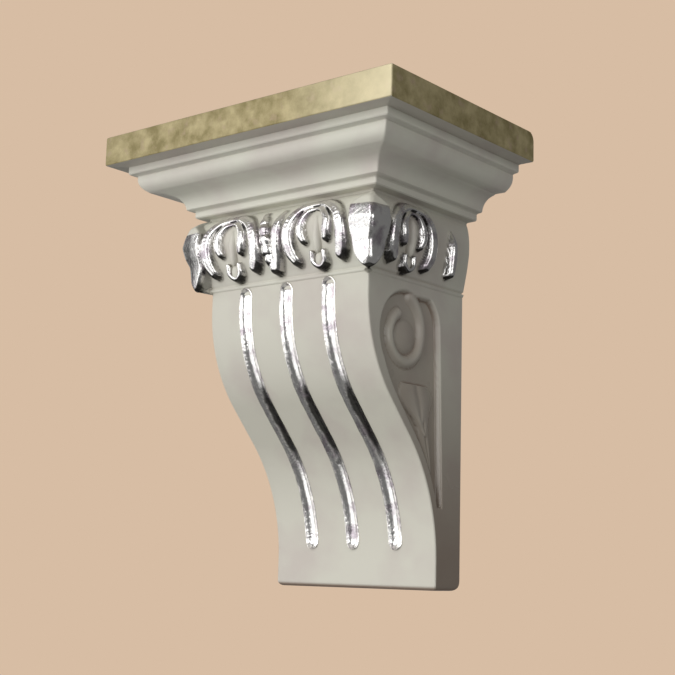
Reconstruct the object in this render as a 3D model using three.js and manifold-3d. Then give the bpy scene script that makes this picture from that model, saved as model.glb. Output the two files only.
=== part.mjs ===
// A small classical corbel: a cast bracket that is fixed to a wall and carries a shelf or the end of a beam.
// A square-edged slab sits on a stepped crown moulding. A swelling band of leaves hangs below it, and an
// S-shaped scroll with three flutes and sunk, volute-carved cheeks runs down to a plain foot.
// Millimetres, +Z up, +X to the right. The wall is the plane y = 0, and the front faces -Y.
// The origin is the centre of the flat back, half way up. A drop is a distance below the top of the slab,
// and a setback is how far a surface lies inside the edge of the slab, on the front and on the sides alike.

import * as THREE from "three";
import Module from "manifold-3d";

// The whole casting.
const SLAB_WIDTH = 168;
const SLAB_DEPTH = 107;
const HEIGHT = 205.6;
const CORNER_RADIUS = 0.8;
const FOOT_ARRIS = 1.4;
const BACK_ROUNDING = 4.5;

// The slab, and the crown moulding below it: a listel, a nose, a hollow and a fillet.
const SLAB_THICKNESS = 13.7;
const SLAB_CORNER_RADIUS = 0.8;
const ARRIS = 0.7;
const LISTEL_SETBACK = 7.8;
const LISTEL_BOTTOM = 17.4;
const NOSE_SETBACK = 10.9;
const NOSE_BOTTOM = 25.6;
const NOSE_TUCK = 3.3;
const NOSE_BOW = 1.2;
const HOLLOW_START = 21;
const HOLLOW_SETBACK = 27.4;
const HOLLOW_BOTTOM = 33.3;
const HOLLOW_BOW = -1.6;
const FILLET_SETBACK = 30.4;
const FILLET_BOTTOM = 36.9;

// The ground of the leaf band, which swells out and tucks in again, and the bead under it. It swells
// most on the front, less on the sides beside the corner leaves, and least against the wall.
const BAND_TOP = 38.4;
const BAND_BOTTOM = 70.2;
const BAND_SETBACK = 36;
const FRONT_SWELL = 8.3;
const SIDE_SWELL = 5.4;
const WALL_SWELL = 2.2;
const BAND_SKEW = 0.75;
const BAND_SIDE_TUCK = 1.6;
const BEAD_HEIGHT = 1.4;
const BEAD_OUT = 0.8;

// The scroll: its half-width, and a front that is two arcs joined by a straight slope.
const SCROLL_HALF_WIDTH = 46;
const SCROLL_DEPTH = 70.6;
const CURVE_START = 80.5;
const UPPER_RADIUS = 65;
const LOWER_RADIUS = 78.7;
const SLOPE_LENGTH = 20.9;
const SLOPE_ANGLE = THREE.MathUtils.degToRad(42.5);

// Three hollow flutes down the front of the scroll, cut by a round rod that lies proud of the face.
const FLUTE_SPACING = 24.3;
const FLUTE_RADIUS = 3.9;
const FLUTE_PROUD = 1.7;
const FLUTE_TOP = 72.6;
const FLUTE_BOTTOM = 188;

// The leaf motifs, one over each outer flute and one on each side, and the leaves between them. Those on
// the front lie a little to the left of the middle. A limb is flatter than it is wide, and rooted in the
// ground.
const OFF_CENTRE = -1.6;
const FRONT_MOTIF_X = 24.8;
const SIDE_MOTIF_Y = 48.5;
const END_LEAF_Y = 17;
const PLUMPNESS = 0.75;
const ROOT = 1;

// The leaf that is folded over a front corner. Its crest is a smooth line of [setback, drop] points, which
// lies forward of the setback on the front and inside it on the side. It is full from one drop to another.
const CREST = [
  [30.8, 41.2],
  [27.6, 47.2],
  [26.9, 52],
  [29.7, 61],
  [30.5, 68.6],
  [34.2, 73.8],
  [38, 75],
];
const CREST_FORWARD = 1.5;
const CREST_INWARD = 1.3;
const CORNER_LEAF_X = 44;
const CORNER_LEAF_Y = 69.5;
const CORNER_LEAF_TOP = 44;
const CORNER_LEAF_HOLD = 61;
const CORNER_LEAF_DISH = 1.5;

// The sunk cheeks: a field between a rear border and a front rim, and a volute at its head.
const SINK = 2.8;
const REAR_BORDER = 16;
const FIELD_APEX_Y = 27;
const FIELD_TOP = 77.5;
const FIELD_FOOT = 170;
const RIM_TOP = 7.5;
const RIM_FOOT = 4;
const VOLUTE_Y = 41.4;
const VOLUTE_DROP = 96.2;
const VOLUTE_RADIUS = 20.5;
const COIL_START = THREE.MathUtils.degToRad(-103);
const COIL_TURN = THREE.MathUtils.degToRad(-350);
const COIL_OUTER = 18.5;
const COIL_INNER = 12;
const COIL_SETTLE = 0.3;
const COIL_CREEP = 1.2;
const COIL_HALF_WIDTH = 2.8;
const COIL_RISE = 2.4;
const EYE_RADIUS = 6.4;
const EYE_RISE = 2.6;

// The husk in the field below the volute: three leaves that overlap and shrink towards the foot.
const HUSK_RISE = 2;
const HUSK_LEAVES = [
  { top: 110, tip: 129, yTop: 34.5, yTip: 31, halfWidth: 8.4 },
  { top: 118, tip: 137, yTop: 32, yTip: 27.5, halfWidth: 7 },
  { top: 127, tip: 155, yTop: 29, yTip: 22.6, halfWidth: 4.6 },
];

// How finely curves are cut into flats.
const CORNER_STEPS = 2;
const PROFILE_STEPS = 5;
const BAND_STEPS = 8;
const ARC_STEPS = 7;
const FLUTE_STEPS = 18;
const FLUTE_SIDES = 10;
const LEAF_SIDES = 6;
const CREST_STEPS = 14;
const TIP_RINGS = 2;
const ROUND_SIDES = 28;
const RIM_STEPS = 12;
const COIL_STEPS = 26;
const OUTER_LEAF_STEPS = 18;
const INNER_LEAF_STEPS = 12;
const SMALL_LEAF_STEPS = 8;

const HALF_WIDTH = SLAB_WIDTH / 2;
const QUARTER = Math.PI / 2;

const { lerp, clamp, smoothstep } = THREE.MathUtils;
const wasm = await Module();
wasm.setup();

const vector = (x, y, drop) => new THREE.Vector3(x, y, HEIGHT / 2 - drop);

// A solid from points and from triangles that index them.
function toSolid(points, triangles) {
  return new wasm.Manifold(
    new wasm.Mesh({
      numProp: 3,
      vertProperties: new Float32Array(points.flatMap((point) => point.toArray())),
      triVerts: new Uint32Array(triangles),
    }),
  );
}

// A closed solid skinned over rings of equally many points. Each end is a fan from its ring's first point.
function skin(rings) {
  const count = rings[0].length;
  const last = (rings.length - 1) * count;
  const triangles = [];
  for (let start = 0; start < last; start += count)
    for (let i = 0; i < count; i++) {
      const here = start + i;
      const next = start + ((i + 1) % count);
      triangles.push(here, next, next + count, here, next + count, here + count);
    }
  for (let i = 1; i + 1 < count; i++)
    triangles.push(0, i + 1, i, last, last + i, last + i + 1);
  const solid = toSolid(rings.flat(), triangles);
  return solid.volume() > 0 ? solid : skin(rings.toReversed());
}

// A rounded bar through stations { centre, out, wide, high, deep }: out points away from the surface that
// it lies on, and wide and high are its half-width along the surface and its half-height off it. A bar
// with a depth has upright flanks that reach down by it.
function bar(stations, sides = LEAF_SIDES) {
  const centres = stations.map((station) => station.centre);
  const ringAt = (index, along, shrink) => {
    const { centre, out, wide, high, deep } = stations[index];
    const ahead = centres[Math.min(index + 1, centres.length - 1)];
    const behind = centres[Math.max(index - 1, 0)];
    const forward = ahead.clone().sub(behind).normalize();
    const across = forward.clone().cross(out).normalize();
    const up = across.clone().cross(forward);
    const start = centre.clone().addScaledVector(forward, along * wide);
    return Array.from({ length: sides }, (_, i) => {
      const turn = (2 * Math.PI * i) / sides;
      const [aside, rise] = [Math.cos(turn), Math.sin(turn)];
      const point = start.clone();
      if (deep && 2 * i > sides)
        return point
          .addScaledVector(across, Math.sign(aside) * wide * shrink)
          .addScaledVector(out, -deep);
      return point
        .addScaledVector(across, aside * wide * shrink)
        .addScaledVector(up, rise * high * shrink);
    });
  };
  const rings = stations.map((_, index) => ringAt(index, 0, 1));
  for (let i = 1; i <= TIP_RINGS; i++) {
    const turn = (QUARTER * i) / (TIP_RINGS + 0.5);
    rings.push(ringAt(stations.length - 1, Math.sin(turn), Math.cos(turn)));
    rings.unshift(ringAt(0, -Math.sin(turn), Math.cos(turn)));
  }
  return skin(rings);
}

// An ellipsoid with its centre and its three half-sizes along x, y and z.
function pebble(centre, half, columns = 10, rows = 6) {
  const rings = [];
  for (let row = 1; row < rows; row++) {
    const tilt = (Math.PI * row) / rows;
    rings.push(
      Array.from({ length: columns }, (_, i) => {
        const turn = (2 * Math.PI * i) / columns;
        const size = Math.sin(tilt);
        return new THREE.Vector3(
          centre.x + half.x * size * Math.cos(turn),
          centre.y + half.y * size * Math.sin(turn),
          centre.z + half.z * Math.cos(tilt),
        );
      }),
    );
  }
  return skin(rings);
}

// Numbers evenly spread from one value to another, both ends included.
const spread = (from, to, steps) =>
  Array.from({ length: steps + 1 }, (_, i) => lerp(from, to, i / steps));

// Points of a bowed line from one [setback, drop] to another, rise out from the straight line.
function bow([setbackA, dropA], [setbackB, dropB], rise) {
  const chord = Math.hypot(setbackB - setbackA, dropB - dropA);
  return spread(0, 1, PROFILE_STEPS).map((t) => {
    const lift = (4 * rise * t * (1 - t)) / chord;
    return [
      lerp(setbackA, setbackB, t) - lift * (dropB - dropA),
      lerp(dropA, dropB, t) + lift * (setbackB - setbackA),
    ];
  });
}

// The setback of the band's ground on the front at a drop.
function frontSetback(drop, swell = FRONT_SWELL) {
  const t = clamp((drop - BAND_TOP) / (BAND_BOTTOM - BAND_TOP), 0, 1);
  return BAND_SETBACK - swell * Math.sin(Math.PI * t ** BAND_SKEW);
}

// The setback of the band's ground on a side, at a drop and a distance from the wall.
function sideSetback(drop, y) {
  const tuck = (BAND_SIDE_TUCK * (drop - BAND_TOP)) / (BAND_BOTTOM - BAND_TOP);
  return frontSetback(drop, lerp(WALL_SWELL, SIDE_SWELL, y / CORNER_LEAF_Y)) + tuck;
}

// The front of the scroll as [depth, drop] pairs, from the top arc to the end of the lower one.
function makeScrollCurve() {
  const upper = spread(0, SLOPE_ANGLE, ARC_STEPS).map((turn) => [
    SCROLL_DEPTH - UPPER_RADIUS * (1 - Math.cos(turn)),
    CURVE_START + UPPER_RADIUS * Math.sin(turn),
  ]);
  const [depth, drop] = upper.at(-1);
  const fullTurn = [1 - Math.cos(SLOPE_ANGLE), Math.sin(SLOPE_ANGLE)];
  const footDepth = depth - SLOPE_LENGTH * Math.sin(SLOPE_ANGLE) - LOWER_RADIUS * fullTurn[0];
  const footDrop = drop + SLOPE_LENGTH * Math.cos(SLOPE_ANGLE) + LOWER_RADIUS * fullTurn[1];
  const lower = spread(SLOPE_ANGLE, 0, ARC_STEPS).map((turn) => [
    footDepth + LOWER_RADIUS * (1 - Math.cos(turn)),
    footDrop - LOWER_RADIUS * Math.sin(turn),
  ]);
  return [...upper, ...lower];
}

const SCROLL_CURVE = makeScrollCurve();

// The depth of the scroll's front at a drop.
function scrollDepth(drop) {
  const below = SCROLL_CURVE.findIndex((point) => point[1] > drop);
  if (below <= 0) return below ? SCROLL_CURVE.at(-1)[0] : SCROLL_DEPTH;
  const [depthA, dropA] = SCROLL_CURVE[below - 1];
  const [depthB, dropB] = SCROLL_CURVE[below];
  return lerp(depthA, depthB, (drop - dropA) / (dropB - dropA));
}

// A level outline: four-sided, against the wall, with its two front corners rounded.
function outline({ halfWidth, depth, drop, wallHalfWidth = halfWidth, radius = CORNER_RADIUS, back = 0 }) {
  const corner = (side, turn) =>
    vector(
      side * (halfWidth - radius + radius * Math.cos(turn)),
      -(depth - radius + radius * Math.sin(turn)),
      drop,
    );
  return [
    vector(wallHalfWidth, -back, drop),
    vector(-wallHalfWidth, -back, drop),
    ...spread(0, QUARTER, CORNER_STEPS).map((turn) => corner(-1, turn)),
    ...spread(QUARTER, 0, CORNER_STEPS).map((turn) => corner(1, turn)),
  ];
}

// The slab and the crown moulding, whose back edge at the top is rounded off.
function crownLevels() {
  const moulding = [
    [ARRIS, SLAB_THICKNESS],
    [LISTEL_SETBACK - ARRIS, SLAB_THICKNESS],
    [LISTEL_SETBACK, SLAB_THICKNESS + ARRIS],
    [LISTEL_SETBACK, LISTEL_BOTTOM],
    ...bow([NOSE_SETBACK, LISTEL_BOTTOM + ARRIS], [NOSE_SETBACK + NOSE_TUCK, NOSE_BOTTOM], NOSE_BOW),
    ...bow([HOLLOW_START, NOSE_BOTTOM], [HOLLOW_SETBACK, HOLLOW_BOTTOM], HOLLOW_BOW),
    [FILLET_SETBACK, HOLLOW_BOTTOM + ARRIS],
    [FILLET_SETBACK, FILLET_BOTTOM],
    [BAND_SETBACK, FILLET_BOTTOM + ARRIS],
  ];
  const slab = { halfWidth: HALF_WIDTH, depth: SLAB_DEPTH, radius: SLAB_CORNER_RADIUS };
  return [
    ...spread(0, QUARTER, CORNER_STEPS).map((turn) => ({
      ...slab,
      drop: BACK_ROUNDING * (1 - Math.cos(turn)),
      back: BACK_ROUNDING * (1 - Math.sin(turn)),
    })),
    { ...slab, drop: SLAB_THICKNESS - ARRIS },
    ...moulding.map(([setback, drop]) => ({
      halfWidth: HALF_WIDTH - setback,
      depth: SLAB_DEPTH - setback,
      drop,
    })),
  ];
}

// The ground of the band and the bead under it.
function bandLevels() {
  const ground = spread(0, 1, BAND_STEPS).map((t) => {
    const drop = lerp(BAND_TOP, BAND_BOTTOM, t);
    const depth = SLAB_DEPTH - frontSetback(drop);
    return {
      wallHalfWidth: HALF_WIDTH - sideSetback(drop, 0),
      halfWidth: HALF_WIDTH - sideSetback(drop, depth),
      depth,
      drop,
    };
  });
  const bead = { halfWidth: SCROLL_HALF_WIDTH + BEAD_OUT, depth: SCROLL_DEPTH + BEAD_OUT };
  return [
    ...ground,
    { ...bead, drop: BAND_BOTTOM + ARRIS },
    { ...bead, drop: BAND_BOTTOM + ARRIS + BEAD_HEIGHT },
  ];
}

// The scroll down to its foot, whose back edge is rounded off and whose other edges have an arris.
function scrollLevels() {
  const foot = { halfWidth: SCROLL_HALF_WIDTH, depth: SCROLL_CURVE.at(-1)[0] };
  return [
    {
      halfWidth: SCROLL_HALF_WIDTH,
      depth: SCROLL_DEPTH,
      drop: BAND_BOTTOM + 2 * ARRIS + BEAD_HEIGHT,
    },
    ...SCROLL_CURVE.map(([depth, drop]) => ({ halfWidth: SCROLL_HALF_WIDTH, depth, drop })),
    ...spread(0, QUARTER, CORNER_STEPS)
      .slice(0, -1)
      .map((turn) => ({
        ...foot,
        drop: HEIGHT - BACK_ROUNDING * (1 - Math.sin(turn)),
        back: BACK_ROUNDING * (1 - Math.cos(turn)),
      })),
    {
      halfWidth: foot.halfWidth - FOOT_ARRIS,
      depth: foot.depth - FOOT_ARRIS,
      drop: HEIGHT,
      back: BACK_ROUNDING,
    },
  ];
}

// One flute's cutter: a rod that follows the front of the scroll.
function fluteCutter(x) {
  const drops = spread(FLUTE_TOP + FLUTE_RADIUS, FLUTE_BOTTOM - FLUTE_RADIUS, FLUTE_STEPS);
  const step = 1;
  const stations = drops.map((drop) => {
    const slope = (scrollDepth(drop + step) - scrollDepth(drop - step)) / (2 * step);
    const out = new THREE.Vector3(0, -1, slope).normalize();
    const centre = vector(x, -scrollDepth(drop), drop).addScaledVector(out, FLUTE_PROUD);
    return { centre, out, wide: FLUTE_RADIUS, high: FLUTE_RADIUS };
  });
  return bar(stations, FLUTE_SIDES);
}

// Places a motif's flat [across, drop, lift] on a face of the band, lift above the ground.
const frontFace = (middle) => (across, drop, lift) => ({
  centre: vector(middle + across, frontSetback(drop) - SLAB_DEPTH - lift, drop),
  out: new THREE.Vector3(0, -1, 0),
});
const sideFace = (side, middle) => (across, drop, lift) => {
  const y = middle - side * across;
  return {
    centre: vector(side * (HALF_WIDTH - sideSetback(drop, y) + lift), -y, drop),
    out: new THREE.Vector3(side, 0, 0),
  };
};

// A carved stroke: a smooth line through a few [across, drop, lift, half-width] points on a face.
function stroke(face, points, steps) {
  const line = new THREE.CatmullRomCurve3(points.map(([a, b, c]) => new THREE.Vector3(a, b, c)));
  const width = new THREE.CatmullRomCurve3(points.map((point) => new THREE.Vector3(point[3], 0, 0)));
  return bar(
    spread(0, 1, steps).map((t) => {
      const place = line.getPoint(t);
      const wide = width.getPoint(t).x;
      return { ...face(place.x, place.y, place.z), wide, high: PLUMPNESS * wide, deep: place.z + ROOT };
    }),
  );
}

const mirrored = (half) => [
  ...half.toReversed().map(([across, ...rest]) => [-across, ...rest]),
  ...half.slice(1),
];

// One motif: two nested leaves shaped like horseshoes around an egg, and a drop in a rimmed cup below it.
function motif(face) {
  const outer = [
    [0, 41.4, 2.2, 1.3],
    [7, 42.4, 2, 2],
    [12.8, 47, 1, 2.8],
    [15, 54.5, 1.1, 3.1],
    [14.4, 61, 2.4, 3.2],
    [12.6, 65, 3.4, 2.7],
  ];
  const inner = [
    [0, 43.8, 1.2, 1.1],
    [4.2, 44.8, 1.2, 1.7],
    [7.1, 49.4, 1, 2.1],
    [7.2, 54.4, 1.7, 2.2],
    [6.2, 57.6, 2.5, 1.8],
  ];
  const cup = [
    [0, 69.2, 4.4, 1],
    [3.1, 67, 3.9, 1.1],
    [3.3, 62.8, 2.2, 0.9],
  ];
  const egg = face(0, 54.5, -1.8).centre;
  const drop = face(0, 65.6, 1.1).centre;
  return [
    stroke(face, mirrored(outer), OUTER_LEAF_STEPS),
    stroke(face, mirrored(inner), INNER_LEAF_STEPS),
    stroke(face, mirrored(cup), SMALL_LEAF_STEPS),
    pebble(egg, { x: 3.2, y: 3.2, z: 8.6 }),
    pebble(drop, { x: 2.4, y: 2.4, z: 3.6 }, 8, 6),
  ];
}

// A leaf of two lobes that meet in a point, for the middle of the front.
function middleLeaf(face) {
  const lobe = [
    [5.4, 42.6, 0.6, 1.4],
    [3.8, 48, 0.8, 2.4],
    [3, 55, 1.3, 2.6],
    [2.2, 62, 2.3, 2.4],
    [0.6, 67.4, 3.6, 1.7],
  ];
  const twin = lobe.map(([across, ...rest]) => [-across, ...rest]);
  return [stroke(face, lobe, INNER_LEAF_STEPS), stroke(face, twin, INNER_LEAF_STEPS)];
}

// A plain leaf against the wall, at the end of a side face.
function endLeaf(face) {
  const spine = [
    [0, 46, 0.2, 1.2],
    [0, 52, 1.8, 2.2],
    [0, 59, 2.5, 2.4],
    [0, 65, 3.3, 1.9],
  ];
  return stroke(face, spine, SMALL_LEAF_STEPS);
}

// The broad leaf that is folded over a front corner. Its level rings are [setback from the side, setback
// from the front] points. Each half rises a little from the crest to its border, and its root lies in the
// ground.
function cornerLeaf(side) {
  const curve = new THREE.CatmullRomCurve3(CREST.map(([a, b]) => new THREE.Vector3(a, b, 0)));
  const [firstDrop, lastDrop] = [CREST[0][1], CREST.at(-1)[1]];
  const rings = spread(0, 1, CREST_STEPS).map((t) => {
    const { x: crest, y: drop } = curve.getPoint(t);
    const [crestX, crestY] = [crest + CREST_INWARD, crest - CREST_FORWARD];
    const opening = lerp(0.5, 1, smoothstep(drop, firstDrop, CORNER_LEAF_TOP));
    const closing = clamp((drop - CORNER_LEAF_HOLD) / (lastDrop - CORNER_LEAF_HOLD), 0, 1);
    const share = opening * Math.sqrt(1.06 - closing ** 2);
    const [spanX, spanY] = [
      (HALF_WIDTH - CORNER_LEAF_X - crestX) * share,
      (SLAB_DEPTH - CORNER_LEAF_Y - crestY) * share,
    ];
    const [endX, endY] = [crestX + spanX, crestY + spanY];
    const rootX = Math.max(sideSetback(drop, CORNER_LEAF_Y), crestX) + ROOT;
    const rootY = Math.max(frontSetback(drop), crestY) + ROOT;
    const dish = CORNER_LEAF_DISH * share;
    return [
      [endX, endY],
      [endX, Math.min(rootY, lerp(crestY, endY, 0.9))],
      [lerp(crestX, endX, 0.88), crestY - dish],
      [lerp(crestX, endX, 0.08), crestY],
      [crestX, lerp(crestY, endY, 0.08)],
      [crestX - dish, lerp(crestY, endY, 0.88)],
      [Math.min(rootX, lerp(crestX, endX, 0.9)), endY],
    ].map(([a, b]) => vector(side * (HALF_WIDTH - a), b - SLAB_DEPTH, drop));
  });
  return skin(rings);
}

// A shape on the cheek from [y, drop] points, as a slab from the sunk floor out past the face.
function cheekCutter(side, points) {
  const ringAt = (x) => points.map(([y, drop]) => vector(side * x, -y, drop));
  return skin([ringAt(SCROLL_HALF_WIDTH - SINK), ringAt(SCROLL_HALF_WIDTH + SINK)]);
}

// The sunk round around the volute, and the tapering field below it.
function cheekCutters(side) {
  const round = spread(0, 2 * Math.PI, ROUND_SIDES)
    .slice(1)
    .map((turn) => [
      VOLUTE_Y + VOLUTE_RADIUS * Math.cos(turn),
      VOLUTE_DROP + VOLUTE_RADIUS * Math.sin(turn),
    ]);
  const rim = spread(VOLUTE_DROP + 0.8 * VOLUTE_RADIUS, FIELD_FOOT, RIM_STEPS).map((drop) => {
    const t = (drop - VOLUTE_DROP) / (FIELD_FOOT - VOLUTE_DROP);
    return [Math.max(REAR_BORDER, scrollDepth(drop) - lerp(RIM_TOP, RIM_FOOT, t)), drop];
  });
  const field = [
    [REAR_BORDER, VOLUTE_DROP],
    [REAR_BORDER + 2, lerp(FIELD_TOP, VOLUTE_DROP, 0.45)],
    [FIELD_APEX_Y, FIELD_TOP],
    [FIELD_APEX_Y + 3, lerp(FIELD_TOP, VOLUTE_DROP, 0.35)],
    ...rim,
  ];
  return [cheekCutter(side, round), cheekCutter(side, field)];
}

// The volute: a rounded coil that winds down the wall side of the cheek and in, and a domed eye.
function volute(side) {
  const stations = spread(0, 1, COIL_STEPS).map((t) => {
    const angle = COIL_START + COIL_TURN * t;
    const settled = Math.sin(QUARTER * Math.min(1, t / COIL_SETTLE));
    const radius = lerp(COIL_OUTER, COIL_INNER, settled) - COIL_CREEP * t;
    return {
      centre: vector(
        side * (SCROLL_HALF_WIDTH - SINK),
        -(VOLUTE_Y + radius * Math.cos(angle)),
        VOLUTE_DROP + radius * Math.sin(angle),
      ),
      out: new THREE.Vector3(side, 0, 0),
      wide: COIL_HALF_WIDTH,
      high: COIL_RISE,
    };
  });
  const eye = vector(side * (SCROLL_HALF_WIDTH - SINK), -VOLUTE_Y, VOLUTE_DROP);
  return [bar(stations), pebble(eye, { x: EYE_RISE, y: EYE_RADIUS, z: EYE_RADIUS })];
}

// One leaf of the husk: broad near its top, ridged down the middle, and pointed at its tip.
function huskLeaf(side, { top, tip, yTop, yTip, halfWidth }) {
  const section = [
    [-1, -0.5],
    [1, -0.5],
    [0.6, 0.6],
    [0, 1],
    [-0.6, 0.6],
  ];
  const rings = spread(0, 1, SMALL_LEAF_STEPS).map((t) => {
    const swell = Math.sin(Math.PI * lerp(0.2, 0.97, t) ** 0.8);
    const y = lerp(yTop, yTip, t);
    return section.map(([across, up]) =>
      vector(
        side * (SCROLL_HALF_WIDTH - SINK + HUSK_RISE * up * Math.sqrt(swell)),
        -(y + across * halfWidth * swell),
        lerp(top, tip, t),
      ),
    );
  });
  return skin(rings);
}

// Everything is carved from or joined to one body, because the corbel is a single casting.
function makeCasting() {
  let casting = skin([...crownLevels(), ...bandLevels(), ...scrollLevels()].map(outline));
  for (const x of [-FLUTE_SPACING, 0, FLUTE_SPACING]) casting = casting.subtract(fluteCutter(x));
  const leaves = [
    ...motif(frontFace(OFF_CENTRE - FRONT_MOTIF_X)),
    ...motif(frontFace(OFF_CENTRE + FRONT_MOTIF_X)),
    ...middleLeaf(frontFace(OFF_CENTRE)),
  ];
  for (const side of [-1, 1]) {
    for (const cutter of cheekCutters(side)) casting = casting.subtract(cutter);
    leaves.push(...volute(side), ...HUSK_LEAVES.map((leaf) => huskLeaf(side, leaf)));
    leaves.push(...motif(sideFace(side, SIDE_MOTIF_Y)), endLeaf(sideFace(side, END_LEAF_Y)));
    leaves.push(cornerLeaf(side));
  }
  for (const leaf of leaves) casting = casting.add(leaf);
  return casting;
}

// A three.js geometry from a solid.
function toGeometry(solid) {
  const { vertProperties, triVerts } = solid.getMesh();
  return new THREE.BufferGeometry()
    .setAttribute("position", new THREE.BufferAttribute(vertProperties, 3))
    .setIndex(new THREE.BufferAttribute(triVerts, 1));
}

const paint = new THREE.MeshStandardMaterial({ color: 0xbdbbad, roughness: 0.45, metalness: 0 });
const corbel = new THREE.Mesh(toGeometry(makeCasting()), paint);
corbel.name = "corbel";

const part = new THREE.Group();
part.add(corbel);

export default part;
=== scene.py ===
import logging
import math
from dataclasses import dataclass, replace
from enum import Enum
from typing import Callable, Sequence

import bpy
import numpy as np
from mathutils import Matrix, Vector


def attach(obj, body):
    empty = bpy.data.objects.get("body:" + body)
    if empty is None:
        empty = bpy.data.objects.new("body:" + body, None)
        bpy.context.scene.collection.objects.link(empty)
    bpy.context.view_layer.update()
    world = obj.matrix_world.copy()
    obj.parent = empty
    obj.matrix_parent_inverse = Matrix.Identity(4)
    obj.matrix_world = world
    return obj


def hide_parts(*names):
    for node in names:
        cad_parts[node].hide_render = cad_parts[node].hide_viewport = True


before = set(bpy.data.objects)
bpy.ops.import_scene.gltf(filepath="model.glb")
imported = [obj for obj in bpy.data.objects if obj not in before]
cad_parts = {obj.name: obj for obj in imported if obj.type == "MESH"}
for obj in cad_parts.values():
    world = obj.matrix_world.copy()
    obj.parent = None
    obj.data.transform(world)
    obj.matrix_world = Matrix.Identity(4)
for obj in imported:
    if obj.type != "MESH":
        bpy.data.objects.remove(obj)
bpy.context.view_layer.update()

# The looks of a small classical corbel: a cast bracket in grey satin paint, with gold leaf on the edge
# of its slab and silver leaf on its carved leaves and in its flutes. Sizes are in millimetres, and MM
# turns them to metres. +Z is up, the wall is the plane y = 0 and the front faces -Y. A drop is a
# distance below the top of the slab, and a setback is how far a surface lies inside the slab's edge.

BODY = "root"
NODE = "corbel"
SEED = 7
MM = 0.001
QUARTER = math.pi / 2

# How far a piece's hidden lap is drawn in from the wall, so that no two backs share a plane.
BACK_TUCK = 0.3

log = logging.getLogger("corbel")

Colour = tuple[float, float, float, float]
Item = bpy.types.Object
Pair = tuple[float, float]
Outline = Sequence[Pair]
Socket = bpy.types.NodeSocket
StrokePoints = Sequence[tuple[float, float, float, float]]
Tree = bpy.types.NodeTree


class Slot(Enum):
    """The record's material slots."""

    PAINT = "grey_paint"
    SILVER = "silver_leaf"
    GOLD = "gold_leaf"


class Face(Enum):
    """The faces of the leaf band. Both sides are carved alike."""

    FRONT = "front"
    SIDE = "side"


@dataclass(frozen=True)
class Body:
    """The sizes of the casting that several sub-assemblies share."""

    slab_width: float = 168
    slab_depth: float = 107
    height: float = 205.6
    corner_radius: float = 0.8
    back_rounding: float = 4.5
    slab_thickness: float = 13.7
    arris: float = 0.7
    fillet_bottom: float = 36.9
    band_top: float = 38.4
    band_bottom: float = 70.2
    band_setback: float = 36
    band_bias: float = 0.75
    scroll_top: float = 71.4
    scroll_half_width: float = 46
    scroll_depth: float = 70.6

    @property
    def half_width(self) -> float:
        """Half of the slab's width."""
        return self.slab_width / 2

    @property
    def crown_bottom(self) -> float:
        """The drop at which the crown moulding ends inside the band."""
        return self.fillet_bottom + self.arris


SIZES = Body()


# Small helpers for numbers.


def smooth_step(low: float, high: float, value: np.ndarray) -> np.ndarray:
    """A soft step.

    Args:
        low: Where the step begins.
        high: Where the step ends. It may be less than low, for a step down.
        value: The numbers to test.

    Returns:
        0 before low, 1 after high, and a smooth curve between.
    """
    t = np.clip((value - low) / (high - low), 0, 1)
    return t * t * (3 - 2 * t)


def smooth_max(a: np.ndarray, b: np.ndarray, radius: float) -> np.ndarray:
    """The larger of two heights, with a fillet where they meet.

    Args:
        a: One height field.
        b: The other height field.
        radius: How far apart the two may be and still blend.

    Returns:
        The blended height field.
    """
    near = np.maximum(radius - np.abs(a - b), 0)
    return np.maximum(a, b) + near**2 / (4 * radius)


def blurred(field: np.ndarray, reach: int) -> np.ndarray:
    """Softens a grid of numbers.

    Args:
        field: The numbers.
        reach: How many cells the softening reaches to each side.

    Returns:
        The softened numbers, on the same grid.
    """
    kernel = np.hanning(2 * reach + 3)[1:-1]
    kernel /= kernel.sum()

    def soften(line: np.ndarray) -> np.ndarray:
        """One row or column, softened."""
        return np.convolve(np.pad(line, reach, mode="edge"), kernel, mode="valid")

    for axis in (0, 1):
        field = np.apply_along_axis(soften, axis, field)
    return field


def bow(start: Pair, end: Pair, rise: float, steps: int = 12) -> Outline:
    """Points of a bowed line.

    Args:
        start: The first setback and drop.
        end: The last setback and drop.
        rise: How far the middle lies out from the straight line.
        steps: How many stretches the line has.

    Returns:
        The points, both ends included.
    """
    run = (end[0] - start[0], end[1] - start[1])
    chord = math.hypot(*run)
    points = []
    for t in np.linspace(0, 1, steps + 1):
        lift = 4 * rise * t * (1 - t) / chord
        points.append((start[0] + run[0] * t - lift * run[1], start[1] + run[1] * t + lift * run[0]))
    return points


def band_setback(drop: np.ndarray, swell: np.ndarray | float) -> np.ndarray:
    """The setback of the leaf band's ground.

    Args:
        drop: The drops to look up.
        swell: How far the ground swells out in its middle.

    Returns:
        The setback at each drop.
    """
    t = np.clip((drop - SIZES.band_top) / (SIZES.band_bottom - SIZES.band_top), 0, 1)
    return SIZES.band_setback - swell * np.sin(np.pi * t**SIZES.band_bias)


def level_ring(width: float, depth: float, drop: float, back: float = 0, steps: int = 6) -> np.ndarray:
    """A level outline: a rectangle against the wall with its two front corners rounded.

    Args:
        width: Half of the rectangle's width.
        depth: How far its front lies from the wall.
        drop: The outline's drop.
        back: How far its back lies from the wall.
        steps: How many stretches a corner has.

    Returns:
        The points as x, y, drop.
    """
    radius = SIZES.corner_radius
    turns = np.linspace(0, QUARTER, steps + 1)
    arc_x = width - radius + radius * np.cos(turns)
    arc_y = -(depth - radius + radius * np.sin(turns))
    x = np.concatenate([[width], arc_x, -arc_x[::-1], [-width]])
    y = np.concatenate([[-back], arc_y, arc_y[::-1], [-back]])
    return np.stack([x, y, np.full_like(x, drop)], axis=-1)


# Small helpers for Blender.


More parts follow.
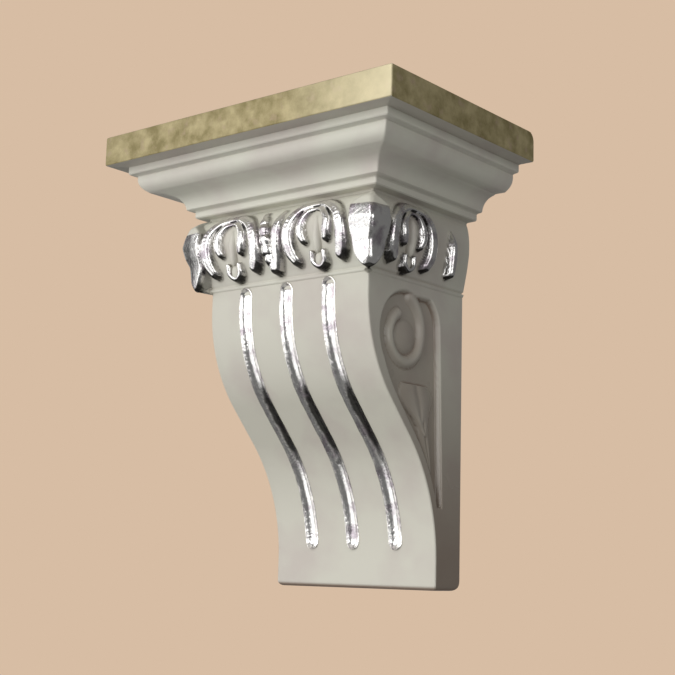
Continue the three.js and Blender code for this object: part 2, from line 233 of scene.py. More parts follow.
def placed(name: str, data: bpy.types.ID) -> Item:
    """Puts a new object into the scene, at its origin.

    Args:
        name: The object's name.
        data: Its mesh, curve, lamp or camera.

    Returns:
        The object.
    """
    made = bpy.data.objects.new(name, data)
    bpy.context.scene.collection.objects.link(made)
    return made


def linear(hex_colour: str) -> Colour:
    """Turns an sRGB hex colour into the linear colour that a shader takes.

    Args:
        hex_colour: Six hex digits after a #.

    Returns:
        Red, green, blue and alpha.
    """
    channels = [int(hex_colour[i : i + 2], 16) / 255 for i in (1, 3, 5)]
    red, green, blue = (c / 12.92 if c <= 0.04045 else ((c + 0.055) / 1.055) ** 2.4 for c in channels)
    return (red, green, blue, 1.0)


def plug(tree: Tree, socket: Socket, value: object) -> None:
    """Links a socket from another one, or sets its value.

    Args:
        tree: The node tree.
        socket: The input socket.
        value: A socket to link from, or a plain value.
    """
    if isinstance(value, bpy.types.NodeSocket):
        tree.links.new(value, socket)
    else:
        socket.default_value = value


def add(tree: Tree, kind: str, inputs: dict | None = None, **settings: object) -> bpy.types.Node:
    """Adds a node with its settings and links.

    Args:
        tree: The node tree.
        kind: The node's type.
        inputs: Socket names, identifiers or numbers, each with a value or with a socket to link from.
        **settings: Properties of the node itself.

    Returns:
        The new node.
    """
    node = tree.nodes.new(kind)
    for name, value in settings.items():
        setattr(node, name, value)
    for key, value in (inputs or {}).items():
        named = [s for s in node.inputs if s.enabled and key in (s.name, s.identifier)]
        plug(tree, node.inputs[key] if isinstance(key, int) else named[0], value)
    return node


def new_tree(name: str, inputs: dict[str, str]) -> tuple[Tree, bpy.types.NodeOutputs]:
    """Starts a Geometry Nodes tree.

    Args:
        name: The tree's name.
        inputs: The tree's inputs by name, each with its kind of socket.

    Returns:
        The tree, and the sockets that give its inputs.
    """
    tree = bpy.data.node_groups.new(name, "GeometryNodeTree")
    for label, kind in inputs.items():
        tree.interface.new_socket(label, in_out="INPUT", socket_type="NodeSocket" + kind)
    tree.interface.new_socket("Mesh", in_out="OUTPUT", socket_type="NodeSocketGeometry")
    return tree, add(tree, "NodeGroupInput").outputs


def end_tree(tree: Tree, geometry: Socket, finish: Socket) -> None:
    """Ends a Geometry Nodes tree: it sets the material and hands the geometry out.

    Args:
        tree: The tree.
        geometry: The finished geometry.
        finish: The material.
    """
    dressed = add(tree, "GeometryNodeSetMaterial", {"Geometry": geometry, "Material": finish})
    add(tree, "NodeGroupOutput", {0: dressed.outputs["Geometry"]})


def grow(seed: Item, tree: Tree, inputs: dict[str, object]) -> Item:
    """Runs a Geometry Nodes tree on an object and makes a plain mesh object of the result.

    Args:
        seed: A mesh or curve object of the scene, which is removed.
        tree: The tree.
        inputs: The tree's inputs by name.

    Returns:
        The mesh object, under the seed's name.
    """
    modifier = seed.modifiers.new("grow", "NODES")
    modifier.node_group = tree
    for item in tree.interface.items_tree:
        if item.item_type == "SOCKET" and item.in_out == "INPUT" and item.name in inputs:
            modifier[item.identifier] = inputs[item.name]
    settled = seed.evaluated_get(bpy.context.evaluated_depsgraph_get())
    mesh = bpy.data.meshes.new_from_object(settled)
    seed.modifiers.remove(modifier)
    name = seed.name
    bpy.data.objects.remove(seed)
    return placed(name, mesh)


def loft(name: str, rings: np.ndarray, marks: dict[str, np.ndarray], crease: float = 35) -> Item:
    """Skins a closed body over level rings of points and closes both ends.

    Args:
        name: The object's name.
        rings: An array of rings, points and x, y, drop.
        marks: Named numbers for each point of the rings, kept as attributes for the materials.
        crease: Edges that turn by more than this many degrees are drawn sharp.

    Returns:
        The object, in metres, with its faces outward.
    """
    rows, columns, _ = rings.shape
    points = np.vstack([rings.reshape(-1, 3), rings[0].mean(axis=0), rings[-1].mean(axis=0)])
    points[:, 2] = SIZES.height / 2 - points[:, 2]
    here = np.arange(rows * columns).reshape(rows, columns)
    ahead = np.roll(here, -1, axis=1)
    quads = np.stack([here[:-1], here[1:], ahead[1:], ahead[:-1]], axis=-1).reshape(-1, 4)
    top = np.stack([here[0], ahead[0], np.full(columns, rows * columns)], axis=-1)
    foot = np.stack([ahead[-1], here[-1], np.full(columns, rows * columns + 1)], axis=-1)
    first, second, third, fourth = (points[quads[:, i]] for i in range(4))
    volume = np.einsum("ij,ij->i", first, np.cross(second, third)).sum()
    volume += np.einsum("ij,ij->i", first, np.cross(third, fourth)).sum()
    faces = [*quads.tolist(), *top.tolist(), *foot.tolist()]
    if volume < 0:
        faces = [face[::-1] for face in faces]
    mesh = bpy.data.meshes.new(name)
    mesh.from_pydata((points * MM).tolist(), [], faces)
    for mark, values in marks.items():
        layer = mesh.attributes.new(mark, "FLOAT", "POINT")
        layer.data.foreach_set("value", np.append(values.ravel(), [0, 0]).astype(np.float32))
    mesh.shade_smooth()
    mesh.set_sharp_from_angle(angle=math.radians(crease))
    for face in mesh.polygons[len(quads) :]:
        face.use_smooth = False
    return placed(name, mesh)


def hand_over(piece: Item, slot: Slot) -> None:
    """Ties a finished piece to the frame and reports it.

    Args:
        piece: The finished piece.
        slot: The record's slot for the piece's finish, which is only named in the log.
    """
    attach(piece, BODY)
    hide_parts(NODE)
    piece.data.calc_loop_triangles()
    log.info("%s: %d triangles, %s", piece.name, len(piece.data.loop_triangles), slot.value)


# Finishes. Each one is a real surface and how it was made.


@dataclass(frozen=True)
class Coat:
    """What one finish gives to a shader. The height is in metres."""

    colour: Socket
    roughness: Socket
    height: Socket
    metallic: Socket | float


@dataclass(frozen=True)
class SatinPaint:
    """Acrylic satin paint, brushed over a cast polyurethane skin.

    It gives a soft broad sheen, a colour that drifts a little between green-grey and warm grey, and the
    faint unevenness of a cast surface under a few coats. Where a mark attribute says so, the colour is
    mixed toward a dark brown and made a little glossier: painted shade in the sunk places, under the slab
    and on the foot's arris, and a plain darkening of the band's sides, of the cheeks toward their foot and
    of the scroll's front.
    """

    name: str = "satin acrylic paint, brushed"
    colour: str = "#c9c7ba"
    warm_colour: str = "#c0b9b0"
    darkening_colour: str = "#7d6c5e"
    roughness: Pair = (0.37, 0.49)
    glaze_gloss: float = -0.25
    drift_mm: float = 28
    peel_mm: float = 3.5
    peel_depth_mm: float = 0.05

    def lay(self, tree: Tree, place: Socket) -> Coat:
        """Adds the nodes of the paint.

        Args:
            tree: The material's node tree.
            place: The Object coordinates.

        Returns:
            The paint's coat.
        """
        scale = {"Vector": place, "Scale": 1 / (self.drift_mm * MM), "Detail": 3.0}
        drift = add(tree, "ShaderNodeTexNoise", scale).outputs["Fac"]
        warm = add(tree, "ShaderNodeMapRange", {"Value": drift, "From Min": 0.45, "From Max": 0.7}).outputs[0]
        tints = {"Factor_Float": warm, "A_Color": linear(self.colour), "B_Color": linear(self.warm_colour)}
        colour = add(tree, "ShaderNodeMix", tints, data_type="RGBA").outputs[2]
        # Painted shade, and plain darkening elsewhere: where the mark says so, the paint is mixed toward the
        # dark brown.
        glazed = add(tree, "ShaderNodeAttribute", attribute_name="glazed").outputs["Fac"]
        shades = {"Factor_Float": glazed, "A_Color": colour, "B_Color": linear(self.darkening_colour)}
        shaded = add(tree, "ShaderNodeMix", shades, data_type="RGBA").outputs[2]
        low, high = self.roughness
        uneven = add(tree, "ShaderNodeMapRange", {"Value": drift, "To Min": low, "To Max": high}).outputs[0]
        gloss = {0: glazed, 1: self.glaze_gloss, 2: uneven}
        rough = add(tree, "ShaderNodeMath", gloss, operation="MULTIPLY_ADD").outputs[0]
        scale = {"Vector": place, "Scale": 1 / (self.peel_mm * MM), "Detail": 2.0}
        peel = add(tree, "ShaderNodeTexNoise", scale).outputs["Fac"]
        depth = {0: peel, 1: self.peel_depth_mm * MM}
        height = add(tree, "ShaderNodeMath", depth, operation="MULTIPLY").outputs[0]
        return Coat(shaded, rough, height, 0.0)


@dataclass(frozen=True)
class SilverLeaf:
    """Imitation silver leaf, laid by hand over size and lightly burnished.

    It gives a bright mirror broken up by wrinkles and dents about a millimetre wide, with lavender-grey
    patches where it has dulled. The parts that face the ground are painted nearly black below a set height:
    painted shade, and the painted reflection of the dark below them.
    """

    name: str = "silver leaf, laid and burnished"
    colour: str = "#f4f2ef"
    dull_colour: str = "#b9b0b6"
    # The near-black of the painted shade and painted reflection on parts that face down.
    shade_colour: str = "#1d1b18"
    roughness: Pair = (0.12, 0.36)
    patch_mm: float = 7
    wrinkle_mm: float = 1.3
    wrinkle_depth_mm: float = 0.15
    # Below which height, how strongly and from what slope the parts that face down get painted shade and
    # painted reflection.
    shade_below_mm: float = 200
    shade_fade_mm: float = 6
    shade_share: float = 0.93
    shade_slope: Pair = (-0.36, -0.5)
    shade_raggedness: float = 0.25

    def lay(self, tree: Tree, place: Socket) -> Coat:
        """Adds the nodes of the leaf.

        Args:
            tree: The material's node tree.
            place: The Object coordinates.

        Returns:
            The leaf's coat.
        """
        scale = {"Vector": place, "Scale": 1 / (self.patch_mm * MM), "Detail": 4.0}
        patch = add(tree, "ShaderNodeTexNoise", scale).outputs["Fac"]
        dull = add(tree, "ShaderNodeMapRange", {"Value": patch, "From Min": 0.5, "From Max": 0.66}).outputs[0]
        tints = {"Factor_Float": dull, "A_Color": linear(self.colour), "B_Color": linear(self.dull_colour)}
        colour = add(tree, "ShaderNodeMix", tints, data_type="RGBA").outputs[2]
        # Painted shade and painted reflection: parts that face down, below a set height, are mixed toward
        # near-black.
        facing = add(tree, "ShaderNodeSeparateXYZ", {0: add(tree, "ShaderNodeNewGeometry").outputs["Normal"]})
        ragged = {0: patch, 1: self.shade_raggedness, 2: facing.outputs["Z"]}
        slope = add(tree, "ShaderNodeMath", ragged, operation="MULTIPLY_ADD").outputs[0]
        fade = {
            "Value": add(tree, "ShaderNodeSeparateXYZ", {0: place}).outputs["Z"],
            "From Min": (self.shade_below_mm + self.shade_fade_mm) * MM,
            "From Max": self.shade_below_mm * MM,
            "To Max": self.shade_share,
        }
        most = add(tree, "ShaderNodeMapRange", fade).outputs[0]
        start, full = self.shade_slope
        hangs = {"Value": slope, "From Min": start, "From Max": full, "To Max": most}
        hanging_shade = add(tree, "ShaderNodeMapRange", hangs, interpolation_type="SMOOTHSTEP").outputs[0]
        shades = {"Factor_Float": hanging_shade, "A_Color": colour, "B_Color": linear(self.shade_colour)}
        toned = add(tree, "ShaderNodeMix", shades, data_type="RGBA").outputs[2]
        low, high = self.roughness
        rough = add(tree, "ShaderNodeMapRange", {"Value": patch, "To Min": low, "To Max": high}).outputs[0]
        scale = {"Vector": place, "Scale": 1 / (self.wrinkle_mm * MM), "Detail": 2.5, "Distortion": 0.6}
        wrinkle = add(tree, "ShaderNodeTexNoise", scale).outputs["Fac"]
        depth = {0: wrinkle, 1: self.wrinkle_depth_mm * MM}
        height = add(tree, "ShaderNodeMath", depth, operation="MULTIPLY").outputs[0]
        return Coat(toned, rough, height, 1.0)


@dataclass(frozen=True)
class GoldLeaf:
    """Imitation gold leaf of brass, laid in small pieces and left matt.

    It gives a pale brass cloudiness, olive where the leaf is thin and pinkish where the size shows, with
    small bright crumbs. A painted highlight brightens the front toward its right end.
    """

    name: str = "brass leaf, laid matt"
    thin_colour: str = "#85794f"
    full_colour: str = "#b3a57c"
    size_colour: str = "#a9947c"
    # The painted highlight toward the right end of the front: its colour, its strength and where it starts
    # and ends.
    highlight_colour: str = "#e6dab6"
    highlight_share: float = 0.75
    highlight_mm: Pair = (25, 84)
    metallic: float = 0.3
    roughness: Pair = (0.5, 0.72)
    cloud_mm: float = 9
    bare_mm: float = 5.625
    crumb_mm: float = 2
    crumb_depth_mm: float = 0.12

    def lay(self, tree: Tree, place: Socket) -> Coat:
        """Adds the nodes of the leaf.

        Args:
            tree: The material's node tree.
            place: The Object coordinates.

        Returns:
            The leaf's coat.
        """
        scale = {"Vector": place, "Scale": 1 / (self.cloud_mm * MM), "Detail": 6.0, "Roughness": 0.62}
        cloud = add(tree, "ShaderNodeTexNoise", scale).outputs["Fac"]
        clouds = {"Value": cloud, "From Min": 0.36, "From Max": 0.64}
        full = add(tree, "ShaderNodeMapRange", clouds).outputs[0]
        thin_colour, full_colour = linear(self.thin_colour), linear(self.full_colour)
        tints = {"Factor_Float": full, "A_Color": thin_colour, "B_Color": full_colour}
        brass = add(tree, "ShaderNodeMix", tints, data_type="RGBA").outputs[2]
        scale = {"Vector": place, "Scale": 1 / (self.bare_mm * MM), "Detail": 3.0}
        bare = add(tree, "ShaderNodeTexNoise", scale).outputs["Fac"]
        bared = {"Value": bare, "From Min": 0.58, "From Max": 0.7, "To Max": 0.6}
        shows = add(tree, "ShaderNodeMapRange", bared).outputs[0]
        tints = {"Factor_Float": shows, "A_Color": brass, "B_Color": linear(self.size_colour)}
        worn = add(tree, "ShaderNodeMix", tints, data_type="RGBA").outputs[2]
        # Painted highlight: faces toward the front brighten toward the right end.
        along = add(tree, "ShaderNodeSeparateXYZ", {0: place}).outputs["X"]
        facing = add(tree, "ShaderNodeSeparateXYZ", {0: add(tree, "ShaderNodeNewGeometry").outputs["Normal"]})
        start, end = (size * MM for size in self.highlight_mm)
        rise = {"Value": along, "From Min": start, "From Max": end, "To Max": -self.highlight_share}
        highlight_ramp = {0: add(tree, "ShaderNodeMapRange", rise).outputs[0], 1: facing.outputs["Y"]}
        painted_highlight = add(tree, "ShaderNodeMath", highlight_ramp, operation="MULTIPLY", use_clamp=True).outputs[0]
        tints = {"Factor_Float": painted_highlight, "A_Color": worn, "B_Color": linear(self.highlight_colour)}
        colour = add(tree, "ShaderNodeMix", tints, data_type="RGBA").outputs[2]
        low, high = self.roughness
        rough = add(tree, "ShaderNodeMapRange", {"Value": cloud, "To Min": high, "To Max": low}).outputs[0]
        scale = {"Vector": place, "Scale": 1 / (self.crumb_mm * MM), "Detail": 3.0}
        crumb = add(tree, "ShaderNodeTexNoise", scale).outputs["Fac"]
        depth = {0: crumb, 1: self.crumb_depth_mm * MM}
        height = add(tree, "ShaderNodeMath", depth, operation="MULTIPLY").outputs[0]
        return Coat(colour, rough, height, self.metallic)


@dataclass(frozen=True)
class SilveredCarving:
    """Carving that is painted first and then silvered by hand on its high parts.

    The attribute "leaf" says where the leaf lies, and noise frays its edge. A second attribute marks
    painted shade, which darkens the steep flanks toward near-black.
    """

    leaf: SilverLeaf
    paint: SatinPaint
    name: str = "silver leaf over satin paint"
    fray_mm: float = 1.4286
    fray_depth: float = 0.5

    def lay(self, tree: Tree, place: Socket) -> Coat:
        """Adds the nodes of the leaf, of the paint and of the border between them.

        Args:
            tree: The material's node tree.
            place: The Object coordinates.

        Returns:
            The mixed coat.
        """
        silver = self.leaf.lay(tree, place)
        ground = self.paint.lay(tree, place)
        mask = add(tree, "ShaderNodeAttribute", attribute_name="leaf").outputs["Fac"]
        toned = add(tree, "ShaderNodeAttribute", attribute_name="toned").outputs["Fac"]
        scale = {"Vector": place, "Scale": 1 / (self.fray_mm * MM), "Detail": 2.0}
        fray = add(tree, "ShaderNodeTexNoise", scale).outputs["Fac"]
        centred = add(tree, "ShaderNodeMath", {0: fray, 1: -0.5}, operation="ADD").outputs[0]
        frayed = {0: centred, 1: self.fray_depth, 2: mask}
        edge = add(tree, "ShaderNodeMath", frayed, operation="MULTIPLY_ADD").outputs[0]
        cover = add(tree, "ShaderNodeMapRange", {"Value": edge, "From Min": 0.35, "From Max": 0.6}).outputs[0]
        both = {"Factor_Float": cover, "A_Color": ground.colour, "B_Color": silver.colour}
        colour = add(tree, "ShaderNodeMix", both, data_type="RGBA").outputs[2]
        # Painted shade: the marked flanks are mixed toward near-black.
        shades = {"Factor_Float": toned, "A_Color": colour, "B_Color": linear(self.leaf.shade_colour)}
        shaded = add(tree, "ShaderNodeMix", shades, data_type="RGBA").outputs[2]
        both = {"Factor_Float": cover, "A_Float": ground.roughness, "B_Float": silver.roughness}
        rough = add(tree, "ShaderNodeMix", both).outputs[0]
        both = {"Factor_Float": cover, "A_Float": ground.height, "B_Float": silver.height}
        height = add(tree, "ShaderNodeMix", both).outputs[0]
        return Coat(shaded, rough, height, cover)


def material_of(finish: SatinPaint | SilverLeaf | GoldLeaf | SilveredCarving) -> bpy.types.Material:
    """Makes the material of a finish.

    Args:
        finish: The finish.

    Returns:
        The material.
    """
    material = bpy.data.materials.new(finish.name)
    material.use_nodes = True
    tree = material.node_tree
    coat = finish.lay(tree, add(tree, "ShaderNodeTexCoord").outputs["Object"])
    bump = add(tree, "ShaderNodeBump", {"Height": coat.height, "Distance": 1.0})
    shader = tree.nodes["Principled BSDF"]
    plug(tree, shader.inputs["Base Color"], coat.colour)
    plug(tree, shader.inputs["Metallic"], coat.metallic)
    plug(tree, shader.inputs["Roughness"], coat.roughness)
    plug(tree, shader.inputs["Normal"], bump.outputs["Normal"])
    return material


@dataclass
class Finishes:
    """The materials, made once and shared by the pieces. The painted shade on the leaf in the flutes starts
    lower down.
    """

    paint: bpy.types.Material
    silver: bpy.types.Material
    gold: bpy.types.Material
    carving: bpy.types.Material

    @classmethod
    def make(cls) -> "Finishes":
        """Makes every material.

        Returns:
            The shared materials.
        """
        carving = SilveredCarving(SilverLeaf(), SatinPaint())
        kinds = (SatinPaint(), SilverLeaf(shade_below_mm=19), GoldLeaf(), carving)
        return cls(*(material_of(kind) for kind in kinds))


# Sub-assemblies.


@dataclass
class Slab:
    """The square-edged slab at the top, with gold leaf on its three edge faces.

    Its under face runs in to under_inset, and from there the hidden core runs to core_inset and core_drop.
    Faces that point up or down by level_from, or to the wall by wall_from, are painted and not gilded.
    """

    edge_radius: float = 0.5
    back_steps: int = 8
    arris_steps: int = 3
    under_inset: float = 7.1
    core_inset: float = 10.1
    core_drop: float = 1
    # Painted shade on the slab's under face: how strong it is, and how far above that face it reaches.
    under_shade: float = 0.35
    shade_reach: float = 0.1
    level_from: float = 0.8
    wall_from: float = 0.5

    def build(self, finishes: Finishes) -> Item:
        """Makes the slab.

        Args:
            finishes: The shared materials.

        Returns:
            The finished piece.
        """
        thick, arris, rounding = SIZES.slab_thickness, SIZES.arris, SIZES.back_rounding
        rings = []
        for turn in np.linspace(0, QUARTER, self.back_steps + 1):
            drop = rounding * (1 - math.cos(turn))
            inset = self.edge_radius * max(0.0, 1 - drop / self.edge_radius) ** 2
            rings.append(self.ring(inset, drop, rounding * (1 - math.sin(turn))))
        for turn in np.linspace(0, QUARTER, self.arris_steps + 1):
            inset = arris * (1 - math.cos(turn))
            rings.append(self.ring(inset, thick - arris * (1 - math.sin(turn))))
        rings.append(self.ring(self.under_inset, thick))
        rings.append(self.ring(self.core_inset, thick + self.core_drop, BACK_TUCK))
        outline = np.array(rings)
        # Painted shade on the under face.
        under = self.under_shade * (outline[..., 2] > thick - self.shade_reach)
        piece = loft("slab", outline, {"glazed": under})
        piece.data.materials.append(finishes.gold)
        piece.data.materials.append(finishes.paint)
        for face in piece.data.polygons:
            painted = abs(face.normal.z) > self.level_from or face.normal.y > self.wall_from
            face.material_index = 1 if painted else 0
        hand_over(piece, Slot.GOLD)
        return piece

    def ring(self, inset: float, drop: float, back: float = 0) -> np.ndarray:
        """A level outline of the slab, drawn in by the inset."""
        return level_ring(SIZES.half_width - inset, SIZES.slab_depth - inset, drop, back)


@dataclass
class Crown:
    """The moulding below the slab: a listel, a nose, a hollow and a fillet.

    Each arris and each quirk between two members is softened by a pair: its setback and its drop.
    """

    lap: float = 1.5
    listel_setback: float = 7.8
    listel_bottom: float = 17.4
    listel_arris: Pair = (0.4, 0.5)
    nose_setback: float = 10.9
    nose_bottom: float = 25.6
    nose_tuck: float = 3.3
    nose_bow: float = 1.2
    nose_quirk: Pair = (0.6, 0.3)
    nose_arris: Pair = (0.9, 0.6)
    hollow_start: float = 21
    hollow_setback: float = 27.4
    hollow_bottom: float = 33.3
    hollow_bow: float = -1.6
    hollow_quirk: Pair = (0.7, 0.5)
    hollow_arris: Pair = (0.5, 0.4)
    fillet_setback: float = 30.4
    fillet_quirk: Pair = (0.5, 0.2)
    fillet_arris: Pair = (0.5, 0.5)
    band_quirk: Pair = (0.4, 0.2)
    band_lap: float = 1

    def profile(self) -> Outline:
        """The moulding's outline.

        Returns:
            Its points as setback and drop, from the slab down.
        """
        listel, nose, fillet = self.listel_setback, self.nose_setback, self.fillet_setback
        nose_end = nose + self.nose_tuck
        nose_foot = (nose_end, self.nose_bottom - self.nose_arris[1])
        hollow_head = (self.hollow_start, self.nose_bottom + self.hollow_quirk[1])
        hollow_foot = (self.hollow_setback, self.hollow_bottom - self.hollow_arris[1])
        return [
            (listel + self.lap, SIZES.slab_thickness - self.lap),
            (listel, SIZES.slab_thickness),
            (listel, self.listel_bottom - self.listel_arris[1]),
            (listel + self.listel_arris[0], self.listel_bottom),
            (nose - self.nose_quirk[0], self.listel_bottom + self.nose_quirk[1]),
            *bow((nose, self.listel_bottom + SIZES.arris), nose_foot, self.nose_bow),
            (nose_end + self.nose_arris[0], self.nose_bottom),
            (self.hollow_start - self.hollow_quirk[0], self.nose_bottom),
            *bow(hollow_head, hollow_foot, self.hollow_bow),
            (self.hollow_setback + self.hollow_arris[0], self.hollow_bottom),
            (fillet - self.fillet_quirk[0], self.hollow_bottom + self.fillet_quirk[1]),
            (fillet, self.hollow_bottom + SIZES.arris),
            (fillet, SIZES.fillet_bottom - self.fillet_arris[1]),
            (fillet + self.fillet_arris[0], SIZES.fillet_bottom),
            (SIZES.band_setback - self.band_quirk[0], SIZES.fillet_bottom + self.band_quirk[1]),
            (SIZES.band_setback, SIZES.crown_bottom),
            (SIZES.band_setback + self.band_lap, SIZES.band_top),
        ]

    def build(self, finishes: Finishes) -> Item:
        """Makes the moulding.

        Args:
            finishes: The shared materials.

        Returns:
            The finished piece.
        """
        rings = []
        for setback, drop in self.profile():
            hidden = drop < SIZES.slab_thickness or drop > SIZES.crown_bottom
            width, depth = SIZES.half_width - setback, SIZES.slab_depth - setback
            rings.append(level_ring(width, depth, drop, BACK_TUCK if hidden else 0))
        piece = loft("crown_moulding", np.array(rings), {})
        piece.data.materials.append(finishes.paint)
        hand_over(piece, Slot.PAINT)
        return piece


@dataclass(frozen=True)
class Stroke:
    """One carved limb: a smooth line of [across, drop, lift, half-width] points on a face."""

    points: StrokePoints
    groove: float = 0.0
    groove_width: float = 0.32
    swellings: int = 0
    swelling: float = 0.22
    plumpness: float = 0.95
    flank: float = 6
    floor: float = -9
    steps: int = 40

    def line(self) -> np.ndarray:
        """The line cut into short stretches.

        Returns:
            An array of across, drop, lift and half-width.
        """
        given = np.array(self.points, dtype=float)
        padded = np.vstack([2 * given[0] - given[1], given, 2 * given[-1] - given[-2]])
        made = []
        for t in np.linspace(0, len(given) - 1, self.steps + 1):
            i = min(int(t), len(given) - 2)
            u = t - i
            a, b, c, d = padded[i : i + 4]
            bend = (2 * a - 5 * b + 4 * c - d) * u**2
            twist = (3 * b - a - 3 * c + d) * u**3
            made.append(0.5 * (2 * b + (c - a) * u + bend + twist))
        line = np.array(made)
        if self.swellings:
            turns = np.linspace(0, 2 * math.pi * self.swellings, self.steps + 1)
            line[:, 3] *= 1 + self.swelling * np.cos(turns)
        return line

    def moved(self, across: float, sign: int = 1) -> "Stroke":
        """The same limb moved sideways, and mirrored where the sign is -1."""
        return replace(self, points=[(across + sign * a, *rest) for a, *rest in self.points])

    def height(self, across: np.ndarray, drop: np.ndarray) -> np.ndarray:
        """The limb as a height field.

        Args:
            across: The places along the face.
            drop: The drops.

        Returns:
            The height above the ground. It is negative where the limb's flanks would lie under the ground.
        """
        line = self.line()
        best = np.full(across.shape, float(self.floor))
        for start, end in zip(line[:-1], line[1:]):
            run = end[:2] - start[:2]
            along = (across - start[0]) * run[0] + (drop - start[1]) * run[1]
            t = np.clip(along / max(run @ run, 1e-9), 0, 1)
            gap = np.hypot(across - start[0] - t * run[0], drop - start[1] - t * run[1])
            lift = start[2] + t * (end[2] - start[2])
            wide = start[3] + t * (end[3] - start[3])
            q = gap / wide
            hollow = 1 - self.groove * np.exp(-((q / self.groove_width) ** 2))
            dome = np.sqrt(np.clip(1 - q**2, 0, 1)) * hollow
            rise = np.where(q < 1, lift + self.plumpness * wide * dome, lift - self.flank * (gap - wide))
            best = np.maximum(best, rise)
        return best


def mirrored(half: StrokePoints) -> StrokePoints:
    """A whole limb from its right half, which starts on the motif's axis."""
    return [*((-a, *rest) for a, *rest in reversed(half)), *half[1:]]


